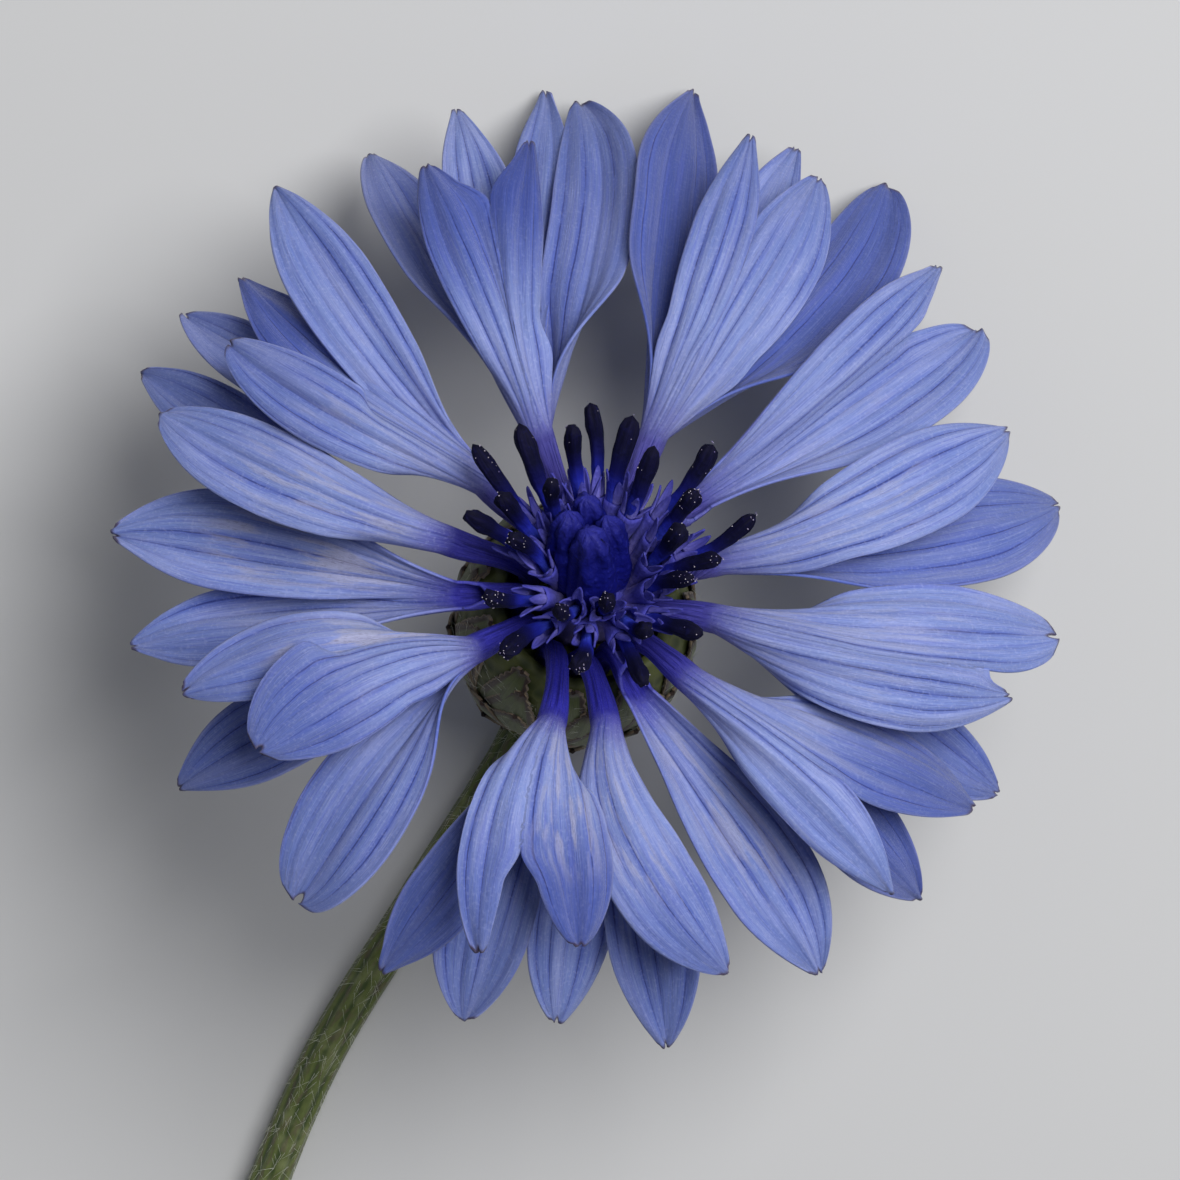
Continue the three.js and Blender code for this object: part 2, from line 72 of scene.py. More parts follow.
# the end of the neck, on the surface below the middle of the stem
stem_end = head_foot - Vector((
    0,
    -NECK_BEND * sin(radians(NECK_TURN)),
    STEM_RADIUS + NECK_BEND * (1 - cos(radians(NECK_TURN))),
)) * MM
stem_place = Matrix.Translation(stem_end) @ Matrix.Scale(MM, 4)


def blend(a, b, share):
    return a + (b - a) * share


def smooth(x, low, high):
    t = min(1.0, max(0.0, (x - low) / (high - low)))
    return t * t * (3 - 2 * t)


def screen_colour(red, green, blue):
    """A colour given as 0 to 255 on a screen, as the shader's linear colour."""
    return tuple(
        c / 12.92 if c <= 0.04045 else ((c + 0.055) / 1.055) ** 2.4
        for c in (red / 255, green / 255, blue / 255)
    ) + (1.0,)


def turned(way, towards, angle):
    """A direction turned by an angle in radians towards another that is square to it."""
    return way * cos(angle) + towards * sin(angle)


def bezier(p0, p1, p2, p3, t):
    s = 1 - t
    return p0 * s**3 + p1 * (3 * s * s * t) + p2 * (3 * s * t * t) + p3 * t**3


def stem_middle():
    """Points along the middle of the neck and the lying stem, close together."""
    knots = []
    for step in range(NECK_KNOTS, 0, -1):
        turn = radians(NECK_TURN * step / NECK_KNOTS)
        rise = STEM_RADIUS + NECK_BEND * (1 - cos(turn))
        knots.append(Vector((0, -NECK_BEND * sin(turn), rise)))
    knots.append(Vector((0, 0, STEM_RADIUS)))
    knots += [Vector((bow, along * STEM_LENGTH, STEM_RADIUS)) for along, bow in STEM_BOW]
    knots = [knots[0] * 2 - knots[1], *knots, knots[-1] * 2 - knots[-2]]
    points = []
    for p0, p1, p2, p3 in zip(knots, knots[1:], knots[2:], knots[3:]):
        t01, t12, t23 = ((b - a).length ** 0.5 for a, b in ((p0, p1), (p1, p2), (p2, p3)))
        leave = (p1 - p0) / t01 - (p2 - p0) / (t01 + t12) + (p2 - p1) / t12
        arrive = (p2 - p1) / t12 - (p3 - p1) / (t12 + t23) + (p3 - p2) / t23
        steps = max(2, round((p2 - p1).length / STEM_STEP))
        curve = (p1, p1 + leave * t12 / 3, p2 - arrive * t12 / 3, p2)
        points += [bezier(*curve, i / steps) for i in range(steps)]
    return [*points, knots[-2]]


def tube_frames(points):
    """For each point of a middle line, its place and two directions square to the line."""
    frames = []
    side = None
    for i, point in enumerate(points):
        forward = (points[min(i + 1, len(points) - 1)] - points[max(i - 1, 0)]).normalized()
        if side is None:
            side = forward.orthogonal()
        side = (side - forward * side.dot(forward)).normalized()
        frames.append((point, side, forward.cross(side)))
    return frames


def new_mesh():
    """An empty mesh, and its map of lines, which says where each point is across and along."""
    bm = bmesh.new()
    return bm, bm.loops.layers.uv.new("lines")


def seal(bm, distance=1e-3):
    """Closes the seams of a mesh and turns its faces out."""
    bmesh.ops.remove_doubles(bm, verts=bm.verts, dist=distance)
    bmesh.ops.recalc_face_normals(bm, faces=bm.faces)


def grid_of(bm, columns, steps):
    """A new grid: each vertex with its place across from -1 to 1 and along from 0 to 1."""
    made = bmesh.ops.create_grid(bm, x_segments=columns, y_segments=steps, size=1)["verts"]
    return [(vert, vert.co.x, min(1.0, max(0.0, (vert.co.y + 1) / 2))) for vert in made]


def mark_lines(vert, lines, across, along):
    for loop in vert.link_loops:
        loop[lines].uv = (across, along)


def wrap_tube(bm, lines, points, around, radius_at):
    """Wraps a grid round a middle line and keeps its turn and length in the map of its lines."""
    frames = tube_frames(points)
    steps = len(points) - 1
    made = grid_of(bm, around, steps)
    for vert, across, along in made:
        share = (across + 1) / 2
        mark_lines(vert, lines, share, along)
        point, side, other = frames[round(along * steps)]
        turn = 2 * pi * share
        vert.co = point + turned(side, other, turn) * radius_at(along, turn)
    bmesh.ops.remove_doubles(bm, verts=[vert for vert, _, _ in made], dist=1e-4)


def thicken(piece, name, thickness):
    wall = piece.modifiers.new(name, "SOLIDIFY")
    wall.thickness = thickness * MM
    wall.offset = 0


def add_object(name, data):
    thing = bpy.data.objects.new(name, data)
    bpy.context.scene.collection.objects.link(thing)
    return thing


def finish_piece(name, bm, place, material, slot, *nodes):
    """Sets a mesh down in the frame as a smooth piece that stands for its CAD nodes."""
    bmesh.ops.transform(bm, matrix=place, verts=bm.verts)
    mesh = bpy.data.meshes.new(name)
    bm.to_mesh(mesh)
    bm.free()
    for face in mesh.polygons:
        face.use_smooth = True
    mesh.materials.append(material)
    piece = add_object(name, mesh)
    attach(piece, "root")
    if nodes:
        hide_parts(*nodes)
    return piece


def wire(tree, kind, sockets, out=0, **settings):
    """Adds a node with its settings, sets or links its input sockets, and gives an output of it."""
    node = tree.nodes.new(kind)
    for name, value in settings.items():
        setattr(node, name, value)
    for key, value in sockets.items():
        if isinstance(value, bpy.types.NodeSocket):
            tree.links.new(value, node.inputs[key])
        else:
            node.inputs[key].default_value = value
    return node.outputs[out]


def maths(tree, operation, a, b=0.0, c=0.0):
    return wire(tree, "ShaderNodeMath", {0: a, 1: b, 2: c}, operation=operation)


def product(tree, first, *others):
    for other in others:
        first = maths(tree, "MULTIPLY", first, other)
    return first


def ease(tree, value, low, high, start=0.0, end=1.0):
    """A value that goes smoothly from start to end as another goes from low to high."""
    sockets = {"Value": value, 1: low, 2: high, 3: start, 4: end}
    return wire(tree, "ShaderNodeMapRange", sockets, interpolation_type="SMOOTHSTEP")


def mix(tree, share, a, b):
    """Two colours mixed. Each is the output of a node or a colour on a screen."""
    a, b = (screen_colour(*colour) if isinstance(colour, tuple) else colour for colour in (a, b))
    return wire(tree, "ShaderNodeMix", {0: share, 6: a, 7: b}, out=2, data_type="RGBA")


def colour_along(tree, value, stops, interpolation="LINEAR"):
    """A colour that goes through the screen colours of the stops as a value goes from 0 to 1."""
    ramp = tree.nodes.new("ShaderNodeValToRGB")
    tree.links.new(value, ramp.inputs[0])
    ramp.color_ramp.interpolation = interpolation
    elements = ramp.color_ramp.elements
    for at, shade in stops[1:-1]:
        elements.new(at).color = screen_colour(*shade)
    elements[0].color = screen_colour(*stops[0][1])
    elements[-1].color = screen_colour(*stops[-1][1])
    return ramp.outputs["Color"]


def map_of_lines(tree):
    """The piece's map of lines, with the two numbers in it: across and along."""
    lines = wire(tree, "ShaderNodeUVMap", {}, uv_map="lines")
    where = tree.nodes.new("ShaderNodeSeparateXYZ")
    tree.links.new(lines, where.inputs[0])
    return lines, where.outputs["X"], where.outputs["Y"]


def grain_of(tree, scale, detail=2.0):
    """Noise that is fixed in the piece."""
    place = wire(tree, "ShaderNodeTexCoord", {}, out="Object")
    return wire(tree, "ShaderNodeTexNoise", {"Vector": place, "Scale": scale, "Detail": detail})


def stretched_noise(tree, lines, across, along, detail=2.0):
    """Noise on a map of lines, drawn out along them."""
    place = wire(tree, "ShaderNodeVectorMath", {0: lines, 1: (across, along, 1)}, operation="MULTIPLY")
    return wire(tree, "ShaderNodeTexNoise", {"Vector": place, "Scale": 1.0, "Detail": detail})


def fibre_group():
    """Fine fibres along a piece, and a mask of the darker nerves among them."""
    group = bpy.data.node_groups.new("plant fibres", "ShaderNodeTree")
    for name, way, kind in (
        ("Lines", "INPUT", "Vector"), ("Across", "INPUT", "Float"), ("Along", "INPUT", "Float"),
        ("Fibres", "OUTPUT", "Float"), ("Nerves", "OUTPUT", "Float"),
    ):
        group.interface.new_socket(name, in_out=way, socket_type="NodeSocket" + kind)
    given = group.nodes.new("NodeGroupInput").outputs
    results = group.nodes.new("NodeGroupOutput").inputs
    scale = wire(group, "ShaderNodeCombineXYZ", {"X": given["Across"], "Y": given["Along"]})
    place = wire(group, "ShaderNodeVectorMath", {0: given["Lines"], 1: scale}, operation="MULTIPLY")
    fibres = wire(group, "ShaderNodeTexNoise", {"Vector": place, "Scale": 1.0, "Detail": 3.0})
    nerves = wire(group, "ShaderNodeTexNoise", {"Vector": place, "Scale": 0.35, "Detail": 1.0})
    group.links.new(fibres, results["Fibres"])
    group.links.new(ease(group, nerves, 0.52, 0.66), results["Nerves"])
    return group


plant_fibres = fibre_group()


def fibres_in(tree, lines, across, along):
    """Places the plant fibres in a material and gives its two outputs."""
    node = tree.nodes.new("ShaderNodeGroup")
    node.node_tree = plant_fibres
    tree.links.new(lines, node.inputs["Lines"])
    node.inputs["Across"].default_value = across
    node.inputs["Along"].default_value = along
    return node.outputs["Fibres"], node.outputs["Nerves"]


def new_material(name, roughness, specular, sheen=0.0):
    """A new material, its tree and its shader, with the values that are the same all over."""
    material = bpy.data.materials.new(name)
    material.use_nodes = True
    shader = material.node_tree.nodes["Principled BSDF"]
    shader.inputs["Roughness"].default_value = roughness
    shader.inputs["Specular IOR Level"].default_value = specular
    shader.inputs["Sheen Weight"].default_value = sheen
    return material, material.node_tree, shader


def dress(tree, shader, colour, height=None, relief=0.0):
    """Gives a shader its colour and, with a height, a fine relief that is so many metres high."""
    tree.links.new(colour, shader.inputs["Base Color"])
    if height is not None:
        bump = wire(tree, "ShaderNodeBump", {"Height": height, "Distance": relief, "Strength": 1.0})
        tree.links.new(bump, shader.inputs["Normal"])


side = stem_middle()
# the cut face: rings that close on the middle, a little hollow where the pith has dried
face_rings = round(len(side) * (1 - SIDE_SHARE) / SIDE_SHARE)
cut_at = (len(side) - 1) / (len(side) + face_rings - 1)
along_end = (side[-1] - side[-2]).normalized()
face = [
    side[-1] - along_end * PITH_HOLLOW * smooth(i / face_rings, 0.1, 1)
    for i in range(1, face_rings + 1)
]


def stem_skin():
    material, tree, shader = new_material("stem skin", 0.62, 0.35, 0.25)
    lines, across, along = map_of_lines(tree)
    fibres, nerves = fibres_in(tree, lines, 60, 220)
    ribs = maths(tree, "PINGPONG", product(tree, across, STEM_RIBS), 0.5)
    colour = mix(tree, fibres, (64, 76, 32), (106, 118, 60))
    colour = mix(tree, ease(tree, ribs, 0.22, 0.45), colour, (54, 70, 28))
    colour = mix(tree, product(tree, nerves, 0.35), colour, (92, 62, 70))
    mottle = grain_of(tree, 900.0, 3.0)
    colour = mix(tree, ease(tree, mottle, 0.45, 0.75, 0, 0.35), colour, (150, 156, 110))
    # the pale pith of the cut face inside its green rind
    cut = ease(tree, along, cut_at + 0.001, cut_at + 0.008)
    pith = mix(tree, mottle, (196, 198, 150), (226, 226, 190))
    dress(tree, shader, mix(tree, cut, colour, pith), fibres, 0.00006)
    return material


def stem_radius(along, turn):
    rib = STEM_SIDE + RIB_HEIGHT * cos(STEM_RIBS * turn)
    cut = max(0.0, (along - cut_at) / (1 - cut_at))
    return rib * (1 - cut) * STEM_RADIUS


bm, lines = new_mesh()
wrap_tube(bm, lines, side + face, STEM_AROUND, stem_radius)
for vert in bm.verts:
    vert.co.z = max(0.0, vert.co.z)  # it lies flat on the surface
seal(bm)
finish_piece("stem_stalk", bm, stem_place, stem_skin(), "stem", "stem")


def scatter_hairs(count, root_of, length, seed):
    """Fine hairs that lie loosely on a surface: root_of(draw) gives a place, its outward way and
    a way along the surface."""
    bm = bmesh.new()
    draw = random.Random(seed)
    for _ in range(count):
        place, out, along = root_of(draw)
        swing = draw.uniform(-1.2, 1.2)
        way = turned(along, out.cross(along), swing) + out * draw.uniform(0.05, 0.5)
        way.normalize()
        reach = length * draw.uniform(0.5, 1.3)
        turn = way.to_track_quat("Z", "Y").to_matrix().to_4x4()
        bmesh.ops.create_cone(
            bm, cap_ends=True, segments=3, radius1=HAIR_RADIUS, radius2=HAIR_RADIUS * 0.15, depth=reach,
            matrix=Matrix.Translation(place + way * reach * 0.45) @ turn,
        )
    return bm


def hair_material():
    material, tree, shader = new_material("cobwebby hairs", 0.7, 0.2, 0.3)
    shade = grain_of(tree, 2500.0)
    colour = mix(tree, shade, (176, 182, 156), (222, 224, 208))
    dress(tree, shader, colour)
    return material


grey_hair = hair_material()
stem_rings = tube_frames(side)


def stem_hair_root(draw):
    index = draw.randrange(4, len(side) - 6)
    point, out, other = stem_rings[index]
    turn = draw.uniform(0, 2 * pi)
    way = turned(out, other, turn)
    if way.z < -0.12:  # none grow where the stem lies on the surface
        way.z = -way.z
    return point + way * STEM_SIDE * STEM_RADIUS, way, (side[index + 1] - side[index]).normalized()


bm = scatter_hairs(STEM_HAIRS, stem_hair_root, STEM_HAIR_LENGTH, 5)
finish_piece("stem_hairs", bm, stem_place, grey_hair, "stem")

# ---------------------------------------------------------------------------------------------
# Involucre: the green egg below the florets. Rows of overlapping bracts clothe it, each a keeled
# scale with a brown margin cut into pale teeth. Its mouth is a dish, in which the florets stand.

INVOLUCRE_LENGTH = 12.0
INVOLUCRE_RADIUS = 5.0
INVOLUCRE_FOOT = 1.3  # radius where it meets the stem
MOUTH_RADIUS = 4.2
DISH_RADIUS = 3.6
DISH_DEPTH = 2.5
CUP_STEPS = 24
CUP_AROUND = 72
HEAD_TURN = -154  # how far the head is turned on the neck, about its own axis
# rows of bracts from the foot up: height of the foot, length, width, number in the row
BRACT_ROWS = [
    (-11.9, 2.2, 2.3, 6),
    (-11.3, 3.2, 2.9, 7),
    (-10.3, 4.2, 3.3, 8),
    (-9.0, 5.0, 3.4, 9),
    (-7.8, 5.6, 3.3, 9),
    (-6.7, 6.1, 3.0, 10),
    (-5.9, 6.5, 2.6, 11),
]
BRACT_TEETH = 11  # down each side of the upper part of a bract
BRACT_TOOTH = 0.2
BRACT_KEEL = 0.12
BRACT_LIFT = 0.28  # how far its point stands off the egg
BRACT_THICKNESS = 0.14
BRACT_COLUMNS, BRACT_STEPS = 12, 34
BRACT_HAIRS = 900
BRACT_HAIR_LENGTH = 0.9
BRACT_HAIR_HEIGHTS = (-11.8, -0.5)  # between which they grow

mouth = head_foot + head_axis * INVOLUCRE_LENGTH * MM
head_place = (
    Matrix.Translation(mouth)
    @ Matrix.Rotation(head_lean, 4, "X")
    @ Matrix.Rotation(radians(HEAD_TURN), 4, "Z")
    @ Matrix.Scale(MM, 4)
)


def polar(azimuth, distance, height=0.0):
    angle = radians(azimuth)
    return Vector((distance * cos(angle), distance * sin(angle), height))


def egg_radius(height):
    along = min(1.0, max(0.0, 1 + height / INVOLUCRE_LENGTH))
    belly = INVOLUCRE_RADIUS - (INVOLUCRE_FOOT + MOUTH_RADIUS) / 2
    return blend(INVOLUCRE_FOOT, MOUTH_RADIUS, along) + belly * sin(pi * along) ** 0.7


def bract_skin():
    material, tree, shader = new_material("bract scale", 0.55, 0.4, 0.1)
    lines, across, along = map_of_lines(tree)
    fibres, nerves = fibres_in(tree, lines, 14, 3)
    edge = maths(tree, "ABSOLUTE", across)
    colour = mix(tree, fibres, (54, 66, 28), (92, 102, 52))
    colour = mix(tree, product(tree, nerves, 0.5), colour, (40, 52, 24))
    mottle = grain_of(tree, 1300.0, 3.0)
    colour = mix(tree, ease(tree, mottle, 0.5, 0.8, 0, 0.5), colour, (108, 112, 74))
    # the brown margin of its upper part, and the paler teeth on that
    upper = ease(tree, along, 0.25, 0.5)
    tip = ease(tree, along, 0.86, 0.98)
    margin = maths(tree, "MAXIMUM", product(tree, ease(tree, edge, 0.66, 0.82), upper), tip)
    colour = mix(tree, margin, colour, (52, 36, 28))
    teeth = product(tree, ease(tree, edge, 0.93, 0.99), upper)
    colour = mix(tree, teeth, colour, (124, 108, 86))
    dress(tree, shader, colour, fibres, 0.00005)
    return material


def dish_skin():
    material, tree, shader = new_material("receptacle flesh", 0.6, 0.35)
    place = wire(tree, "ShaderNodeTexCoord", {}, out="Object")
    cells = wire(tree, "ShaderNodeTexVoronoi", {"Vector": place, "Scale": 1500.0})
    colour = mix(tree, ease(tree, cells, 0.1, 0.7), (52, 62, 28), (84, 90, 48))
    dress(tree, shader, colour, cells, 0.0001)
    return material


bm = bmesh.new()
heights = [-INVOLUCRE_LENGTH * (1 - i / CUP_STEPS) for i in range(CUP_STEPS + 1)]
profile = [
    (0.0, -INVOLUCRE_LENGTH), *((egg_radius(height), height) for height in heights),
    (MOUTH_RADIUS - 0.15, 0.12), (DISH_RADIUS, 0.0), (DISH_RADIUS, -DISH_DEPTH), (0.0, -DISH_DEPTH),
]
outline = [bm.verts.new((distance, 0, height)) for distance, height in profile]
edges = [bm.edges.new(pair) for pair in zip(outline, outline[1:])]
bmesh.ops.spin(
    bm, geom=outline + edges, cent=(0, 0, 0), axis=(0, 0, 1), angle=2 * pi,
    steps=CUP_AROUND, use_merge=True,
)
seal(bm)
finish_piece("involucre_cup", bm, head_place, dish_skin(), "bracts", "involucre")


def bract_point(across, along, foot, length, width):
    """Where a point of a bract is on the egg: degrees to the side, distance out and height."""
    height = foot + along * length
    taper = max(0.04, (1 - along**2.4)) ** 0.8 * blend(0.75, 1, smooth(along, 0, 0.35))
    teeth = abs((along * BRACT_TEETH * 1.5) % 1 - 0.5) * 2
    fringe = smooth(along, 0.3, 0.5) * smooth(abs(across), 0.86, 1)
    half = taper * width / 2 + fringe * (BRACT_TOOTH * teeth - 0.02)
    keel = BRACT_KEEL * (1 - abs(across)) * smooth(along, 0.1, 0.6)
    distance = egg_radius(height) + blend(-0.12, BRACT_LIFT, along**1.5) + keel
    return degrees(across * half / distance), distance, height


bm, lines = new_mesh()
draw = random.Random(21)
for row, (foot, length, width, count) in enumerate(BRACT_ROWS):
    for index in range(count):
        azimuth = (index + (row % 2) / 2 + draw.uniform(-0.06, 0.06)) * 360 / count
        size = draw.uniform(0.93, 1.05)
        for vert, across, along in grid_of(bm, BRACT_COLUMNS, BRACT_STEPS):
            mark_lines(vert, lines, across, along)
            aside, distance, height = bract_point(across, along, foot, length * size, width * size)
            vert.co = polar(azimuth + aside, distance, height)
piece = finish_piece("involucre_bracts", bm, head_place, bract_skin(), "bracts", "involucre")
thicken(piece, "scale thickness", BRACT_THICKNESS)


def bract_hair_root(draw):
    height = draw.uniform(*BRACT_HAIR_HEIGHTS)
    azimuth = draw.uniform(0, 360)
    out = polar(azimuth, 1)
    return polar(azimuth, egg_radius(height) + 0.2, height), out, Vector((0, 0, 1))


bm = scatter_hairs(BRACT_HAIRS, bract_hair_root, BRACT_HAIR_LENGTH, 9)
finish_piece("involucre_hairs", bm, head_place, grey_hair, "bracts")

# ---------------------------------------------------------------------------------------------
# Ray florets: the thirteen sterile flowers round the head. Each is one piece of thin petal tissue,
# a tube that stands in the dish and opens into a trumpet. The trumpet's limb is cut into lobes.
# Its front lobes lie over the back ones, and neighbours stay joined up to the notch between them.

ROOT_CIRCLE = 2.6  # radius of the circle that the feet of their tubes stand on
ROOT_HEIGHT = 0.3 - DISH_DEPTH
RAY_TUBE_RADIUS = 0.42
RAY_TUBE_RIDGES = 9
RIM_CUT = 0.16  # how far the tube's end is cut back where it has no lobes, of its length
THROAT_RADIUS = 0.6
THROAT_RISE = 30
LEAVE_RISE, ARRIVE_RISE = 28, -22  # how steeply a lobe leaves the throat and ends, from its chord
LOBE_FULL = 0.62  # fraction of a lobe's length by which it has its whole width
LOBE_WIDEST = 0.64  # fraction from which it narrows to its tip
LOBE_HOLLOW = 16
LOBE_COLUMNS, LOBE_STEPS, TUBE_STEPS = 40, 72, 16
CAD_BLADE = 0.6
CAD_TIP_HALF_WIDTH = 0.25
PETAL_THICKNESS = 0.13
SHORT_JOINT = 0.08  # share of their length to which lobes that part near the throat are joined
NOTCHES = (0.016, 0.02, 0.024, 0.012, 0.0)  # depths of the notch in a tip, of the lobe's length
BLUNT_NOTCH = 0.02  # added to it where the tip is blunt
TUBE_RISE = 4.4  # how far a ray floret's tube goes straight up before it bends outwards
TUBE_REACH = 2.6  # how far before the throat it points the throat's way
CREASE_HEIGHT = 0.04
SWELL_HEIGHT = 0.03
CHANNEL_HEIGHT = 0.12
FINE_HEIGHT = 0.008
WAVE_HEIGHT = 0.3
RIPPLE_HEIGHT = 0.1

# throat (azimuth, distance, height), rim that carries lobes, then lobes in their order round it: tip
# azimuth, reach and height (None on the surface), width, side up, bluntness, sideways bow, lift,
# share of its length joined to the next (0 where they part near the throat), how much painted shade
# of a deeper blue it has (on its outer part where it lies over the others, all over where it lies
# under them), and how streaked it is
RAY_FLORETS = [
    ((68, 6.9, 4.5), (18, 378), [
        (70.5, 21.4, 5, 2.7, "over", 0.85, -0.15, 0, 0.22, 0.3, 0.1),
        (61, 21.4, 4, 3.9, "over", 0.7, -0.6, 0, 0, 0.2, 0.2),
        (54.6, 25.1, None, 4.3, "under", 0.5, -1.8, -1.5, 0, 0.8, 0),
        (64.9, 23.4, 1, 2.8, "under", 0.8, 0, 0, 0, 0.1, 0),
        (77, 25.4, -1.5, 4.0, "under", 1.0, 0.6, 0, 0, 0.9, 0),
    ]),
    ((112, 6.9, 4.5), (30, 390), [
        (112, 19.9, 5, 3.2, "over", 0.7, 0, 0, 0.75, 0.85, 0),
        (98, 19.9, 5, 2.4, "over", 0.8, 0.9, 0, 0, 1, 0),
        (88.9, 24.3, -2.2, 3.9, "under", 0.6, -1.5, 0, 0, 0.5, 0),
        (92.1, 25.2, None, 2.6, "under", 0.9, 0, -0.8, 0, 0.3, 0),
        (103.3, 23.6, 0, 3.2, "under", 0.9, 0, 0, 0, 0, 0),
        (112.5, 23.5, -3, 3.6, "under", 0.7, 0.4, 0, 0, 0.5, 0),
    ]),
    ((140, 6.3, 4), (0, 360), [
        (148, 19, 4.5, 3.3, "over", 0.5, 1.0, 0.2, 0.4, 0.4, 0.4),
        (136.6, 21, 0.8, 3.4, "over", 0.9, 1.0, 0, 0, 0.9, 0),
        (126.8, 23, 1.5, 3.8, "under", 0.8, 0.85, 0, 0, 0.1, 0.2),
        (142.4, 22.2, -2, 3.5, "under", 0.7, 0.8, 0, 0, 0.4, 0),
    ]),
    ((169, 6.9, 4.5), (-10, 350), [
        (158.6, 20.4, 2.5, 3.9, "over", 0.6, 0.75, 0, 0, 0.1, 0.7),
        (150.6, 22.4, -2.5, 3.2, "under", 0.8, 0.3, -0.7, 0, 0.35, 0),
    ]),
    ((188, 6.1, 3.2), (170, 370), [
        (172, 21.1, -1, 4.5, "under", 0.8, -0.7, -1.3, 0, 0, 1),
        (185.1, 20, -2.5, 3.7, "under", 0.8, -0.4, -1.8, 0, 0.2, 0.4),
    ]),
    ((213, 6.8, 4.5), (15, 375), [
        (210, 17.4, 6, 5.0, "over", 0.5, -1.0, 0, 0.5, 0.6, 0.2),
        (197.4, 19, 4, 3.8, "over", 0.7, -0.8, 0, 0, 0.4, 1),
        (205, 19.6, -2, 3.8, "under", 0.8, -0.3, 0, 0, 0.5, 0),
        (227, 19, 0, 4.8, "under", 0.4, 0, 0, 0, 0.3, 0.1),
    ]),
    ((252, 7.5, 5), (0, 360), [
        (265, 17.4, 7, 3.6, "over", 0.6, 0, 0, 0.6, 0.9, 0.8),
        (251.8, 18.6, 7, 2.1, "over", 0.6, -1.1, 0, 0, 0.5, 0.1),
        (241.5, 19.5, 1, 3.2, "under", 0.8, 0.35, 0, 0, 0.75, 0),
        (253.6, 19.8, -0.5, 4.2, "under", 0.7, -0.6, 0, 0, 0.3, 0),
    ]),
    ((272, 6.8, 4), (30, 390), [
        (286, 18.7, 5, 3.9, "over", 0.7, -1.35, -0.2, 0, 0.4, 0.6),
        (266, 18.7, -2, 3.8, "under", 0.7, -0.2, -0.5, 0, 0.1, 0),
        (279.5, 20.2, -1, 4.0, "under", 0.8, 0, 0, 0, 0.35, 0),
    ]),
    ((290, 5.3, 3), (180, 360), [
        (301.6, 19.5, -1, 4.5, "under", 0.8, 0.5, -0.8, 0, 0.15, 0.6),
    ]),
    ((309, 6.2, 4.5), (-20, 340), [
        (330.2, 19.4, 1.5, 4.0, "over", 0.7, 0, -0.4, 0.5, 0.75, 0.3),
        (312.3, 18.9, 3.4, 3.0, "over", 0.9, 0.2, 0, 0, 0, 0.1),
        (319.3, 19.8, -2, 3.9, "under", 0.8, 0, 0, 0, 0.8, 0),
    ]),
    ((340, 5.6, 4), (-20, 340), [
        (354.9, 20.9, 2, 4.6, "over", 0.45, -0.4, 0, 0.8, 0, 0.4),
        (345, 19, 3, 3.7, "over", 0.8, -1.3, 0.8, 0, 0, 0.3),
        (336.7, 20.3, -2, 3.8, "under", 0.7, 0, -1.4, 0, 0.5, 0),
    ]),
    ((8, 5.6, 4.0), (-10, 350), [
        (21.2, 20, 3.5, 4.5, "over", 0.7, -0.8, 0.5, 0, 0, 0.5),
        (13.8, 22.6, -2, 5.1, "under", 0.75, -0.8, 0, 0, 0.5, 0),
    ]),
    ((38, 6.1, 3.8), (170, 370), [
        (35.4, 22.2, 0.5, 4.4, "under", 0.5, -0.7, -0.4, 0.68, 0.1, 0.3),
        (43.8, 22.4, 1.5, 2.7, "under", 0.9, -0.4, 0.3, 0, 0.1, 0.1),
    ]),
]
# the lobes that are broad from nearer the throat, by floret and place in it, with the fraction of
# their length by which they have their whole width
BROAD_LOBES = {(1, 2): 0.42, (1, 4): 0.42, (2, 2): 0.38}
# how dark each floret's tube is, from the first one round the head to the last
TUBE_DEPTHS = (0.2, 0.3, 0.35, 0.8, 0.9, 0.9, 1, 1, 0.9, 0.7, 0.55, 0.2, 0.25)


def bezier_slope(p0, p1, p2, p3, t):
    s = 1 - t
    return ((p1 - p0) * (s * s) + (p2 - p1) * (2 * s * t) + (p3 - p2) * (t * t)).normalized()


def surface_height(azimuth, reach):
    """The height in the head's frame at which a lobe's tip meets the surface, as on the CAD lobe."""
    clearance = CAD_BLADE / 2 * cos(head_lean) + CAD_TIP_HALF_WIDTH
    drop = -reach * sin(radians(azimuth + HEAD_TURN)) * sin(head_lean)
    return (drop + clearance - mouth.z / MM) / cos(head_lean)


